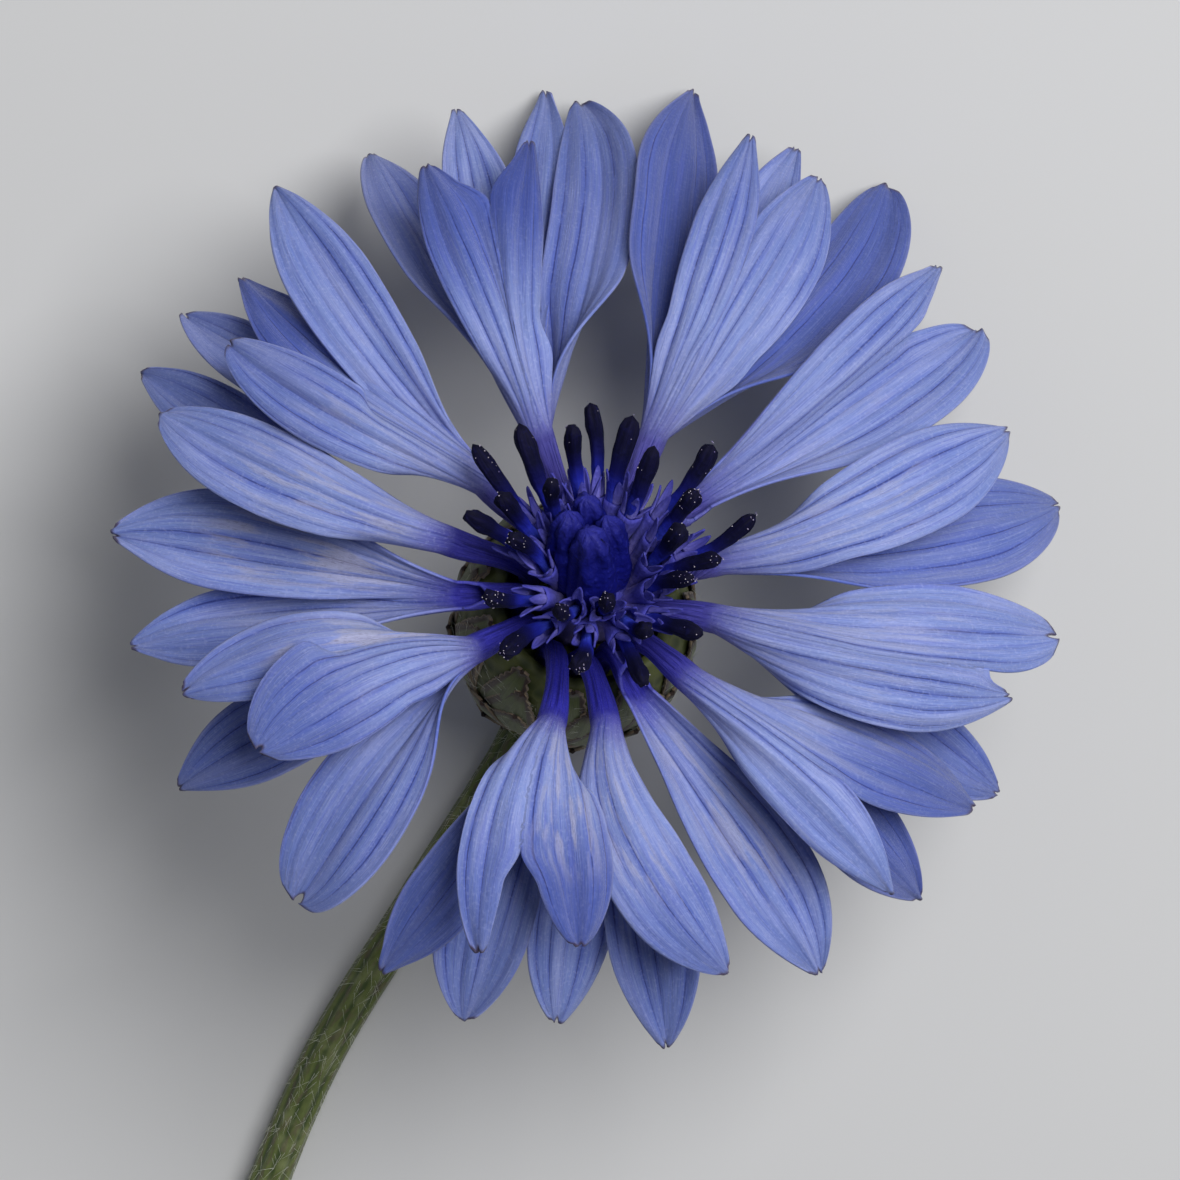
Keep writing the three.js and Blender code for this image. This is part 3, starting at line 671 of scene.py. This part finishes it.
class Lobe:
    """One lobe of a limb: its middle line from the throat's rim to its tip, its turn and folds."""

    def __init__(self, row, floret, index, count, rim, centre, outward, draw):
        azimuth, reach, height, width, side, self.blunt, bow, lift, self.joined = row[:9]
        self.depth_of_blue, self.streaked = row[9:]
        self.full = BROAD_LOBES.get((floret, index), LOBE_FULL)
        self.half_width = width / 2
        self.half_slot = (rim[1] - rim[0]) / count / 2
        self.outward = outward
        place = rim[0] + (2 * index + 1) * self.half_slot
        lateral = Vector((0, 0, 1)).cross(outward).normalized()
        up = outward.cross(lateral)
        start = centre + turned(lateral, up, radians(place)) * THROAT_RADIUS
        tip = polar(azimuth, reach, surface_height(azimuth, reach) if height is None else height)
        chord = tip - start
        level = Vector((chord.x, chord.y, 0)).normalized()
        away = Vector((centre.x, centre.y, 0)).normalized()
        slope = atan2(chord.z, hypot(chord.x, chord.y))
        third = chord.length / 3
        aside = Vector((-level.y * bow, level.x * bow, lift)) * (4 / 3)

        def heading(rise, towards):
            flat = level.lerp(towards, 0.5).normalized() * cos(slope + radians(rise))
            return Vector((flat.x, flat.y, sin(slope + radians(rise)))) * third

        leave, arrive = heading(LEAVE_RISE, away) + aside, heading(ARRIVE_RISE, level) - aside
        self.line = (start, start + leave, tip - arrive, tip)
        self.first_turn = place + 90
        self.over = side == "over"
        self.last_turn = blend(180 if self.over else 360, self.first_turn, 0.2)
        # how its folds lie and how its tip is cut, which differ from lobe to lobe
        self.folds = min(3.1, 0.55 + self.half_width * 1.05)
        self.sway = (draw.uniform(-0.12, 0.12), draw.uniform(-0.09, 0.09), draw.uniform(0, 6.28))
        self.notch = draw.choice(NOTCHES) + (BLUNT_NOTCH if self.blunt < 0.5 else 0)
        self.notch_place = draw.uniform(-0.2, 0.2)
        self.seed = draw.uniform(0, 90)

    def frame(self, along):
        slope = bezier_slope(*self.line, along)
        forward = self.outward.lerp(slope, smooth(along, 0, 0.25)).normalized()
        lateral = Vector((0, 0, 1)).cross(forward).normalized()
        up = forward.cross(lateral)
        turn = radians(blend(self.first_turn, self.last_turn, smooth(along, 0, 0.5)))
        return bezier(*self.line, along), turned(lateral, up, turn), turned(up, -lateral, turn)

    def half(self, along):
        rise = sin(pi / 2 * min(1, along / self.full)) ** 1.3
        past = max(0.0, (along - LOBE_WIDEST) / (1 - LOBE_WIDEST))
        taper = max(0.0, cos(pi / 2 * past)) ** self.blunt
        at_rim = THROAT_RADIUS * sin(radians(self.half_slot))
        half = blend(at_rim, self.half_width, rise) * taper
        return hypot(half, (0.22 if self.notch else 0.07) * smooth(along, 0.85, 1))

    def point(self, along, across):
        centre, side, inward = self.frame(along)
        half = self.half(along)
        arc = radians(blend(self.half_slot, LOBE_HOLLOW, smooth(along, 0, 0.35)))
        wide = half * sin(across * arc) / sin(arc)
        deep = half * (1 - cos(across * arc)) / sin(arc)
        return centre + side * wide + inward * deep

    def fold(self, across):
        """Where a point lies among the lobe's folds, which are at the whole numbers."""
        first, second, phase = self.sway
        bent = across + (1 - across * across) * (first + second * sin(3 * across + phase))
        return bent * self.folds

    def cut(self, across):
        """How far the end of the lobe falls short, for its teeth and its rounded shoulders."""
        nick = self.notch * exp(-(((across - self.notch_place) / 0.2) ** 2))
        return nick + 0.02 * max(0.0, (abs(across) - 0.5) / 0.5) ** 1.5


def limb_point(lobes, index, along, across):
    """A point of a lobe, whose edges are drawn to its neighbours' as far as they are joined, and
    the share to which its edge is joined there."""
    lobe = lobes[index]
    point = lobe.point(along, across)
    edge = 1 if across > 0 else -1
    neighbour = index + edge
    if lobe.half_slot * 2 * len(lobes) > 359:
        neighbour %= len(lobes)
    if abs(across) < 0.05 or not 0 <= neighbour < len(lobes) or neighbour == index:
        return point, 0.0
    other = lobes[neighbour]
    joined = (lobe if edge > 0 else other).joined
    share = 1 - smooth(along, joined or SHORT_JOINT, joined + 0.15 if joined else SHORT_JOINT + 0.3)
    if share == 0:
        return point, 0.0
    shift = (other.point(along, -edge) - lobe.point(along, edge)) * 0.5 * share
    return point + shift * across * across, share


def pleat(lobe, along, across):
    """The relief of the folds: sharp creases and the soft swell between them, in mm."""
    fold = lobe.fold(across)
    away = abs(fold - round(fold))
    strong = 0.75 + 0.65 * sin(round(fold) * 2.3 + lobe.seed)
    crease = exp(-((away / 0.12) ** 2)) * CREASE_HEIGHT * strong
    swell = SWELL_HEIGHT * cos(2 * pi * fold) * strong
    swell += CHANNEL_HEIGHT * cos(pi * across * 1.9 + lobe.seed)
    fine = FINE_HEIGHT * cos(2 * pi * fold * 4 + lobe.seed)
    room = min(1.0, lobe.half(along) / 1.6)
    fade = smooth(along, 0.0, 0.12) * (1 - 0.75 * smooth(along, 0.72, 0.98)) * (1 - across**6)
    return (crease + swell + fine) * fade * room


def shape_lobe(bm, lines, marks, lobes, index):
    lobe = lobes[index]
    for vert, across, along in grid_of(bm, LOBE_COLUMNS, LOBE_STEPS):
        mark_lines(vert, lines, lobe.fold(across), along)
        # painted shade: a deeper blue over the outer part of a lobe that lies over the others, and over the
        # whole of one that lies under them
        vert[marks["painted shade"]] = lobe.depth_of_blue * (smooth(along, 0.25, 0.8) if lobe.over else 1)
        vert[marks["streaked"]] = lobe.streaked * (1 - across * across)
        vert[marks["lobe"]] = (lobe.seed / 90) % 1
        along -= lobe.cut(across) * smooth(along, 0.6, 1)
        _, _, inward = lobe.frame(along)
        point, joined = limb_point(lobes, index, along, across)
        vert[marks["edge"]] = abs(across) ** 3 * (1 - joined)
        wave = noise.noise(Vector((across * 1.1, along * 3.2, lobe.seed))) * WAVE_HEIGHT
        ripple = noise.noise(Vector((across * 2.5, along * 7, lobe.seed))) * RIPPLE_HEIGHT
        wave += ripple * across * across
        wave *= smooth(along, 0.15, 0.6) * (1 - joined * across**6)
        relief = pleat(lobe, along, across)
        vert.co = point + inward * (wave + (relief if lobe.over else -relief))


def shape_ray_tube(bm, lines, line, root_azimuth, azimuth, rim, lobe_count):
    """The tube from the dish to the throat. Where the rim has no lobes, its end is cut back."""
    closed = rim[1] - rim[0]
    around = round(360 / closed * lobe_count * LOBE_COLUMNS)
    for vert, across, along in grid_of(bm, around, TUBE_STEPS):
        share = (across + 1) / 2
        mark_lines(vert, lines, share * RAY_TUBE_RIDGES, along - 1)
        open_share = max(0.0, (share * 360 - closed) / max(1, 360 - closed))
        along *= 1 - RIM_CUT * sin(pi * open_share) ** 0.7 if closed < 359 else 1
        turn = radians(360 * share + rim[0])
        forward = bezier_slope(*line, along)
        lateral = polar(blend(root_azimuth, azimuth, along) + 90, 1)
        lateral = (lateral - forward * lateral.dot(forward)).normalized()
        up = forward.cross(lateral)
        ridge = cos(radians(share * 360 * RAY_TUBE_RIDGES)) * (1 - smooth(along, 0.8, 1))
        radius = blend(RAY_TUBE_RADIUS, THROAT_RADIUS, smooth(along, 0.6, 1)) * (1 + 0.05 * ridge)
        vert.co = bezier(*line, along) + turned(lateral, up, turn) * radius


def attribute(tree, name):
    return wire(tree, "ShaderNodeAttribute", {}, out="Fac", attribute_name=name)


def petal_skin():
    material, tree, shader = new_material("ray petal tissue", 0.52, 0.3)
    shader.inputs["Sheen Roughness"].default_value = 0.45
    _, fold, along = map_of_lines(tree)
    lobe = attribute(tree, "lobe")
    shifted = wire(
        tree, "ShaderNodeCombineXYZ",
        {"X": maths(tree, "MULTIPLY_ADD", lobe, 37.0, fold), "Y": along, "Z": lobe},
    )
    # the colour from the foot of the tube to the tip
    colour = colour_along(tree, ease(tree, along, -1, 1), [
        (0.0, (96, 90, 172)), (0.3, (104, 96, 180)), (0.46, (110, 106, 186)), (0.5, (114, 114, 192)),
        (0.54, (120, 126, 199)), (0.62, (126, 140, 206)), (0.78, (130, 148, 210)), (1.0, (116, 136, 203)),
    ], "EASE")
    on_limb = ease(tree, along, -0.04, 0.06)
    # the painted shade of the lobes, a deeper blue, which also keeps their fibres and cells less pale
    deep = attribute(tree, "painted shade")
    deep_tube = attribute(tree, "deep tube")
    pale = product(tree, on_limb, maths(tree, "MULTIPLY_ADD", deep, -0.8, 1.0))
    # clouds drawn out along the lobe, partly random tone and partly painted highlight, and fibres,
    # finer and finer, that fan out from the throat
    clouds_and_highlights = stretched_noise(tree, shifted, 0.9, 3.0)
    fibres, nerves = fibres_in(tree, shifted, 26, 7)
    fine = stretched_noise(tree, shifted, 70, 46, 3.0)
    cells = grain_of(tree, 7000.0)
    # the creases of the folds: a thin broken line in a valley of painted shade, and fainter ones between
    # them
    wander = stretched_noise(tree, shifted, 1.4, 9.0)
    bent = maths(tree, "ADD", fold, maths(tree, "MULTIPLY_ADD", wander, 0.16, -0.08))
    away = maths(tree, "PINGPONG", bent, 0.5)
    broken = ease(tree, stretched_noise(tree, shifted, 3.0, 12.0), 0.3, 0.5, 0.25, 1)
    which = ease(tree, stretched_noise(tree, shifted, 0.7, 0.8, 0.0), 0.42, 0.56, 0.25, 1)
    fade = product(tree, ease(tree, along, 1.02, 0.7, 0.35, 1), which)
    line = product(tree, ease(tree, away, 0.06, 0.015), product(tree, broken, fade))
    side_away = maths(tree, "PINGPONG", maths(tree, "MULTIPLY_ADD", bent, 3.0, wander), 0.5)
    # how far inside the tube a point is, past the ragged end of its dark colour
    inside = ease(tree, maths(tree, "MULTIPLY_ADD", fibres, -0.3, along), -0.02, -0.2)
    inside = product(tree, inside, deep_tube)
    runs = maths(tree, "MULTIPLY_ADD", deep_tube, 0.7, 0.2)
    # dry streaks near the throat
    patch = product(
        tree, ease(tree, stretched_noise(tree, shifted, 2.2, 5.0, 3.0), 0.47, 0.6),
        attribute(tree, "streaked"), ease(tree, along, 0.8, 0.55), ease(tree, along, 0.06, 0.18),
    )
    layers = [
        # clouds of paler blue, partly random tone and partly painted highlight, then painted shade: a
        # deeper blue on the lobes that lie under others and on the outer parts of those that lie over them
        ((ease(tree, clouds_and_highlights, 0.4, 0.7, 0, 0.5), on_limb), (158, 168, 224)),
        ((deep,), (54, 72, 150)),
        # pale fibres and darker nerves
        ((ease(tree, fibres, 0.42, 0.7, 0, 0.4), pale), (172, 182, 230)),
        ((nerves, 0.34), (84, 98, 190)),
        # painted shade in the valley of a crease, then its line, and the lines beside it
        ((ease(tree, away, 0.34, 0.02), fade, 0.78, on_limb), (78, 98, 184)),
        ((line, 0.8), (40, 50, 126)),
        ((ease(tree, side_away, 0.14, 0.02), ease(tree, fine, 0.42, 0.55), 0.32), (74, 90, 178)),
        # dark streaks that run from the tube a little way into the limb
        ((ease(tree, along, 0.16, -0.02), ease(tree, fibres, 0.5, 0.62), runs), (46, 38, 140)),
        # the dark tube, paler streaks on it, and darker streaks near the throat
        ((inside, 0.97), (42, 42, 170)),
        ((inside, ease(tree, fine, 0.52, 0.68, 0, 0.6)), (112, 106, 206)),
        ((ease(tree, nerves, 0.3, 0.7), ease(tree, along, 0.02, -0.1, 0, 0.6)), (18, 16, 92)),
        # paler cells, painted as the silvery glints of the tissue, and dry cream streaks with dark flecks
        # in them
        ((ease(tree, cells, 0.54, 0.68), pale, 0.16), (196, 202, 240)),
        ((patch, 0.62), (184, 182, 202)),
        ((ease(tree, fine, 0.58, 0.64), patch, 0.75), (90, 82, 112)),
        # the pale, thin edge, and the dry brown points of the teeth
        ((ease(tree, attribute(tree, "edge"), 0.75, 1, 0, 0.2), on_limb), (166, 172, 232)),
        ((ease(tree, along, 0.982, 1.0), ease(tree, clouds_and_highlights, 0.3, 0.5, 0.3, 0.9)), (70, 52, 84)),
    ]
    for shares, shade in layers:
        colour = mix(tree, product(tree, *shares), colour, shade)
    height = maths(tree, "MULTIPLY_ADD", fine, 0.5, product(tree, fibres, 0.8))
    height = maths(tree, "SUBTRACT", height, product(tree, line, 0.5))
    dress(tree, shader, colour, maths(tree, "MULTIPLY_ADD", cells, 0.35, height), 0.00005)
    tree.links.new(ease(tree, cells, 0.35, 0.7, 0.62, 0.46), shader.inputs["Roughness"])
    tree.links.new(product(tree, on_limb, 0.2), shader.inputs["Sheen Weight"])
    return material


MARKS = ("edge", "painted shade", "streaked", "lobe", "deep tube")
petal_tissue = petal_skin()
draw = random.Random(13)

for number, (throat, rim, rows) in enumerate(RAY_FLORETS, 1):
    bm, lines = new_mesh()
    marks = {name: bm.verts.layers.float.new(name) for name in MARKS}
    centre = polar(*throat)
    rise = radians(THROAT_RISE)
    outward = polar(throat[0], cos(rise), sin(rise))
    lobes = [Lobe(row, number, i, len(rows), rim, centre, outward, draw) for i, row in enumerate(rows)]
    for index in range(len(lobes)):
        shape_lobe(bm, lines, marks, lobes, index)
    root_azimuth = RAY_FLORETS[0][0][0] + (number - 1) * 360 / len(RAY_FLORETS)
    root = polar(root_azimuth, ROOT_CIRCLE, ROOT_HEIGHT)
    middle = (root, root + polar(root_azimuth, -0.1, TUBE_RISE), centre - outward * TUBE_REACH, centre)
    shape_ray_tube(bm, lines, middle, root_azimuth, throat[0], rim, len(lobes))
    seal(bm, 0.004)
    for vert in bm.verts:
        vert[marks["deep tube"]] = TUBE_DEPTHS[number - 1]
    piece = finish_piece(
        f"ray_flower_{number:02d}", bm, head_place, petal_tissue, "ray_petal", f"ray_floret_{number:02d}"
    )
    thicken(piece, "petal tissue", PETAL_THICKNESS)

# ---------------------------------------------------------------------------------------------
# Disc florets: the fertile flowers in the middle of the head. An open one has a thin tube, a throat
# with five narrow violet lobes, and a dark tube of fused anthers that ends in pale pollen. Those in
# the very middle are still closed buds. All stand packed in the dish, on the receptacle.

CORE_RADIUS = 1.85
CORE_TOP = 4.2
CORE_FURROWS = 18
DISC_FLORETS = 24
CLOSED_BUDS = ((180, 0.6), (270, 1), (0, 0.2), (90, 0.3))  # azimuth and size
GOLDEN_ANGLE = 137.5
FLORET_FOOT = 1.3  # how far from the middle its foot stands
FLORET_REACHES = (2.7, 7.0)  # how far from the middle the innermost and the outermost end
FLORET_HEIGHTS = (9.2, 7.2)  # and how high
DISC_LEAN = 118  # azimuth to which the whole disc leans, and how far its florets and its buds do
FLORET_LEAN = 0.9
BUD_LEAN = 1.7
COROLLA_SHARE = 0.5  # of a floret's length that its corolla tube takes
COROLLA_LOBES = 5
COROLLA_THICKNESS = 0.08
ANTHER_START = 0.36  # fraction of the floret's length at which its anther tube begins
ANTHER_RADIUS = 0.37
ANTHER_STEPS = 24
BUD_STEPS = 40
CRINKLE_SEED = 3  # without it the buds would crinkle another way in every run
POLLEN_COUNTS = (2, 4, 7, 10, 16, 26)  # grains that are left on an anther tube
POLLEN_SIZES = (0.014, 0.034)
CORE_STEPS = 12


def seeded_stream(seed):
    """The same repeatable stream of numbers from 0 to 1 that places the CAD florets."""
    state = seed
    while True:
        state = (state * 1664525 + 1013904223) % 4294967296
        yield state / 4294967296


def path_points(p0, p1, p2, start, end, steps):
    """Points on a bend with one knee, from one fraction of it to another."""
    points = []
    for i in range(steps + 1):
        t = blend(start, end, i / steps)
        points.append(p0 * (1 - t) ** 2 + p1 * (2 * t * (1 - t)) + p2 * t * t)
    return points


def disc_skin(name, stops, roughness, bump, fleck, fleck_share):
    """Tissue of a disc floret: a colour from foot to end, ribs, fibres and paler flecks."""
    material, tree, shader = new_material(name, roughness, 0.14)
    lines, _, along = map_of_lines(tree)
    colour = colour_along(tree, along, stops)
    fibres, _ = fibres_in(tree, lines, 24, 5)
    dark = mix(tree, 0.6, colour, (16, 12, 70))
    colour = mix(tree, ease(tree, fibres, 0.4, 0.7, 0, 0.4), colour, dark)
    grain = grain_of(tree, 3800.0, 3.0)
    colour = mix(tree, ease(tree, grain, 0.56, 0.72, 0, fleck_share), colour, fleck)
    dress(tree, shader, colour, maths(tree, "MULTIPLY_ADD", fibres, 0.8, grain), bump)
    return material


corolla_skin = disc_skin(
    "disc corolla", [
        (0.0, (130, 122, 190)), (0.3, (138, 130, 200)), (0.5, (136, 128, 202)), (0.62, (124, 120, 204)),
        (0.78, (100, 98, 190)), (1.0, (70, 70, 168)),
    ], 0.55, 0.00005, (120, 120, 214), 0.35,
)
anther_skin = disc_skin(
    "anther tube", [
        (0.0, (70, 88, 206)), (0.28, (56, 70, 196)), (0.42, (30, 38, 156)), (0.56, (12, 14, 84)),
        (0.72, (5, 6, 40)), (1.0, (6, 5, 28)),
    ], 0.75, 0.00005, (18, 20, 76), 0.3,
)
bud_skin = disc_skin(
    "closed bud", [
        (0.0, (70, 68, 180)), (0.35, (28, 32, 138)), (0.6, (16, 20, 112)), (0.85, (15, 19, 104)),
        (1.0, (40, 42, 134)),
    ], 0.5, 0.00009, (52, 58, 168), 0.3,
)


def pollen_dust():
    material, tree, shader = new_material("pollen", 0.8, 0.2)
    share = ease(tree, grain_of(tree, 9000.0), 0.35, 0.65)
    colour = mix(tree, share, (128, 116, 168), (204, 196, 204))
    dress(tree, shader, colour)
    return material


def shape_corolla(bm, lines, p0, p1, p2, draw):
    """The tube of an open floret, its swollen throat, and five narrow lobes that spread from it."""
    points = path_points(p0, p1, p2, 0, COROLLA_SHARE, 16)
    wrap_tube(bm, lines, points, 20, lambda along, turn: (
        0.27 + 0.24 * exp(-(((along - 0.95) / 0.3) ** 2)) + 0.025 * cos(COROLLA_LOBES * turn)
    ))
    middle, side, other = tube_frames(points)[-1]
    forward = (points[-1] - points[-2]).normalized()
    first_turn = draw.uniform(0, 360)
    for lobe in range(COROLLA_LOBES):
        out = turned(side, other, radians(first_turn + lobe * 360 / COROLLA_LOBES))
        aside = forward.cross(out)
        length = draw.uniform(1.0, 1.7)
        spread = radians(draw.uniform(0, 7) + draw.choice((0, 0, 0, 14)))
        curl = draw.uniform(-0.1, 0.15)
        twist = draw.uniform(-0.15, 0.15)
        for vert, across, along in grid_of(bm, 6, 12):
            mark_lines(vert, lines, 0.5 + across * 0.1, blend(0.6, 1.0, along))
            lean = spread + curl * along
            way = turned(forward, out, lean)
            half = 0.26 * max(0.0, 1 - along**1.8) ** 0.7 * (1 - 0.2 * (1 - along)) + 0.02
            up = turned(out, -forward, lean)
            hollow = up * (-0.16 * across * across * (1 - along))
            sway = aside * (twist * along * along)
            line = middle + out * (0.48 - 0.04 * along) + way * length * along
            vert.co = line + aside * across * half + hollow + sway


def anther_width(along, turn, shape):
    """Half the width of a fused anther tube: a thin foot, a club with five ridges, a ragged end."""
    size, seed = shape
    club = size * (0.88 + 0.2 * exp(-(((along - 0.82) / 0.16) ** 2)))
    base = blend(0.22, ANTHER_RADIUS * club, smooth(along, 0.1, 0.5))
    uneven = 1 + 0.2 * noise.noise(Vector((along * 7, cos(turn), sin(turn) + seed)))
    ridge = 1 + blend(0.06, 0.16, smooth(along, 0.7, 0.95)) * cos(5 * turn)
    end = 0.93 + 0.035 * cos(5 * turn + seed)
    tip = sqrt(max(0.0, 1 - (max(0.0, along - end + 0.06) / (1.06 - end)) ** 2))
    return base * uneven * ridge * tip


def bud_width(along, turn, size):
    body = 0.3 + (0.47 + 0.37 * size) * sin(pi * min(1, along * 0.9)) ** 0.8
    tip = sqrt(max(0.0, 1 - (max(0.0, along - 0.86) / 0.14) ** 2))
    furrow = abs(cos(2.5 * turn + along * 0.6))
    return body * (1 - blend(0.08, 0.36, smooth(along, 0.3, 0.95)) * (1 - furrow**0.6)) * tip


stream = seeded_stream(7)
draw = random.Random(31)
corollas, anthers, buds, pollen = (bmesh.new() for _ in range(4))
corolla_lines, anther_lines, bud_lines = (m.loops.layers.uv.new("lines") for m in (corollas, anthers, buds))
for number in range(DISC_FLORETS):
    share = (number + 0.5) / DISC_FLORETS
    azimuth = number * GOLDEN_ANGLE + (next(stream) - 0.5) * 10
    reach = blend(*FLORET_REACHES, share**0.7) + (next(stream) - 0.5)
    height = blend(*FLORET_HEIGHTS, share) + (next(stream) - 0.5)
    p0 = polar(azimuth, FLORET_FOOT, 2.2)
    p1 = polar(azimuth, FLORET_FOOT + 0.25 * reach, 0.66 * height)
    p2 = polar(azimuth, reach, height) + polar(DISC_LEAN, FLORET_LEAN)
    shape_corolla(corollas, corolla_lines, p0, p1, p2, draw)
    points = path_points(p0, p1, p2, ANTHER_START, 1.0, ANTHER_STEPS)
    bend = Vector((draw.uniform(-0.4, 0.4), draw.uniform(-0.4, 0.4), 0))
    points = [point + bend * sin(pi * i / ANTHER_STEPS) for i, point in enumerate(points)]
    shape = (draw.uniform(0.85, 1.12), draw.uniform(0, 50))
    wrap_tube(anthers, anther_lines, points, 20, lambda along, turn: anther_width(along, turn, shape))
    # most anther tubes have shed their pollen; a few still carry it on their ends
    frames = tube_frames(points)
    for _ in range(draw.choice(POLLEN_COUNTS)):
        along = 1 - 0.25 * draw.random() ** 1.4
        turn = draw.uniform(0, 2 * pi)
        place, side, other = frames[round(along * ANTHER_STEPS)]
        size = draw.uniform(*POLLEN_SIZES)
        place = place + turned(side, other, turn) * max(0.05, anther_width(along, turn, shape))
        place += (points[-1] - points[-2]) * 0.2
        bmesh.ops.create_icosphere(pollen, subdivisions=1, radius=size, matrix=Matrix.Translation(place))

for azimuth, size in CLOSED_BUDS:
    bud_path = (
        polar(azimuth, 0.6, 1.5),
        polar(azimuth, 1.2, 4.6) + polar(DISC_LEAN + 180, 0.4),
        polar(azimuth, 0.85, 7.7 + 1.2 * size) + polar(DISC_LEAN, BUD_LEAN),
    )
    points = [point + polar(180, 0.25) for point in path_points(*bud_path, 0, 1, BUD_STEPS)]
    wrap_tube(buds, bud_lines, points, 36, lambda along, turn: bud_width(along, turn, size))
noise.seed_set(CRINKLE_SEED)
for vert in buds.verts:
    crinkle = smooth(vert.co.z, 6.0, 8.4)
    vert.co += noise.noise_vector(vert.co * 1.5) * 0.12
    vert.co += noise.noise_vector(vert.co * 4.5) * blend(0.03, 0.15, crinkle)

for made in (corollas, anthers, buds):
    seal(made)
piece = finish_piece("disc_corollas", corollas, head_place, corolla_skin, "disc_corolla", "disc_florets")
thicken(piece, "corolla tissue", COROLLA_THICKNESS)
finish_piece("disc_anther_tubes", anthers, head_place, anther_skin, "disc_corolla", "disc_florets")
finish_piece("disc_buds", buds, head_place, bud_skin, "disc_corolla", "disc_florets")
finish_piece("pollen_grains", pollen, head_place, pollen_dust(), "disc_corolla")

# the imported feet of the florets, a bundle that fills the dish below them
bm, lines = new_mesh()
heights = [blend(ROOT_HEIGHT, CORE_TOP, i / CORE_STEPS) for i in range(CORE_STEPS + 1)]
bundle = [Vector((0, 0, height)) for height in heights]
wrap_tube(bm, lines, bundle, 90, lambda along, turn: (
    (CORE_RADIUS - 0.5 * along)
    * (0.93 + 0.07 * abs(cos(CORE_FURROWS / 2 * turn)))
    * (1 if 0 < along < 1 else 0)
))
seal(bm)
finish_piece("disc_tube_bundle", bm, head_place, corolla_skin, "disc_corolla", "disc_florets")

# ---------------------------------------------------------------------------------------------
# The setting: a plain pale floor, a large soft light over it with a weak even one all round, and
# the camera, which looks down on the face of the flower from 12 degrees off the vertical.

FLOOR_HALF = 2.0  # metres, as are the other sizes of the setting
CAMERA_ELEVATION = radians(78)
CAMERA_DISTANCE = 0.28
LEAN_IN_VIEW = radians(64)  # where the lean of the face points in the view
VIEW_WIDTH = 0.0522  # at the mouth of the head
AIM_RIGHT, AIM_UP = 0.0042, 0.0085  # from the mouth to the middle of the view, of its width
KEY_PLACE = (0.17, 0.1, 0.42)  # to the view's right, up and towards the camera, from the mouth
KEY_SIZE = 0.3
KEY_WATTS = 2.35

floor_bm = bmesh.new()
bmesh.ops.create_grid(floor_bm, x_segments=1, y_segments=1, size=FLOOR_HALF)
floor_mesh = bpy.data.meshes.new("floor")
floor_bm.to_mesh(floor_mesh)
floor_bm.free()
floor = add_object("floor", floor_mesh)
floor_paint, _, floor_shader = new_material("pale floor", 0.9, 0.5)
floor_shader.inputs["Base Color"].default_value = (0.62, 0.62, 0.62, 1)
floor_mesh.materials.append(floor_paint)

towards_camera = Vector((0, -cos(CAMERA_ELEVATION), sin(CAMERA_ELEVATION)))
lean = Vector((0, -sin(CAMERA_ELEVATION), -cos(CAMERA_ELEVATION)))
square = towards_camera.cross(lean)
view_right = turned(lean, -square, LEAN_IN_VIEW)
view_up = turned(square, lean, LEAN_IN_VIEW)
aim = mouth + view_right * (AIM_RIGHT * VIEW_WIDTH) + view_up * (AIM_UP * VIEW_WIDTH)
turn = Matrix((view_right, view_up, towards_camera)).transposed().to_4x4()
camera_data = bpy.data.cameras.new("camera")
camera_data.angle = 2 * atan(VIEW_WIDTH / 2 / CAMERA_DISTANCE)
camera_data.clip_start = 0.01
camera = add_object("camera", camera_data)
camera.matrix_world = Matrix.Translation(aim + towards_camera * CAMERA_DISTANCE) @ turn
bpy.context.scene.camera = camera
bpy.context.scene.view_settings.view_transform = "Standard"

light = bpy.data.lights.new("key", "AREA")
light.shape = "DISK"
light.size = KEY_SIZE
light.energy = KEY_WATTS
way = view_right * KEY_PLACE[0] + view_up * KEY_PLACE[1] + towards_camera * KEY_PLACE[2]
lamp = add_object("key", light)
lamp.matrix_world = Matrix.Translation(mouth + way) @ way.to_track_quat("Z", "Y").to_matrix().to_4x4()
world = bpy.data.worlds.new("studio")
world.use_nodes = True
sky = world.node_tree.nodes["Background"]
sky.inputs["Color"].default_value = (0.9, 0.93, 1.0, 1)
sky.inputs["Strength"].default_value = 0.17
bpy.context.scene.world = world
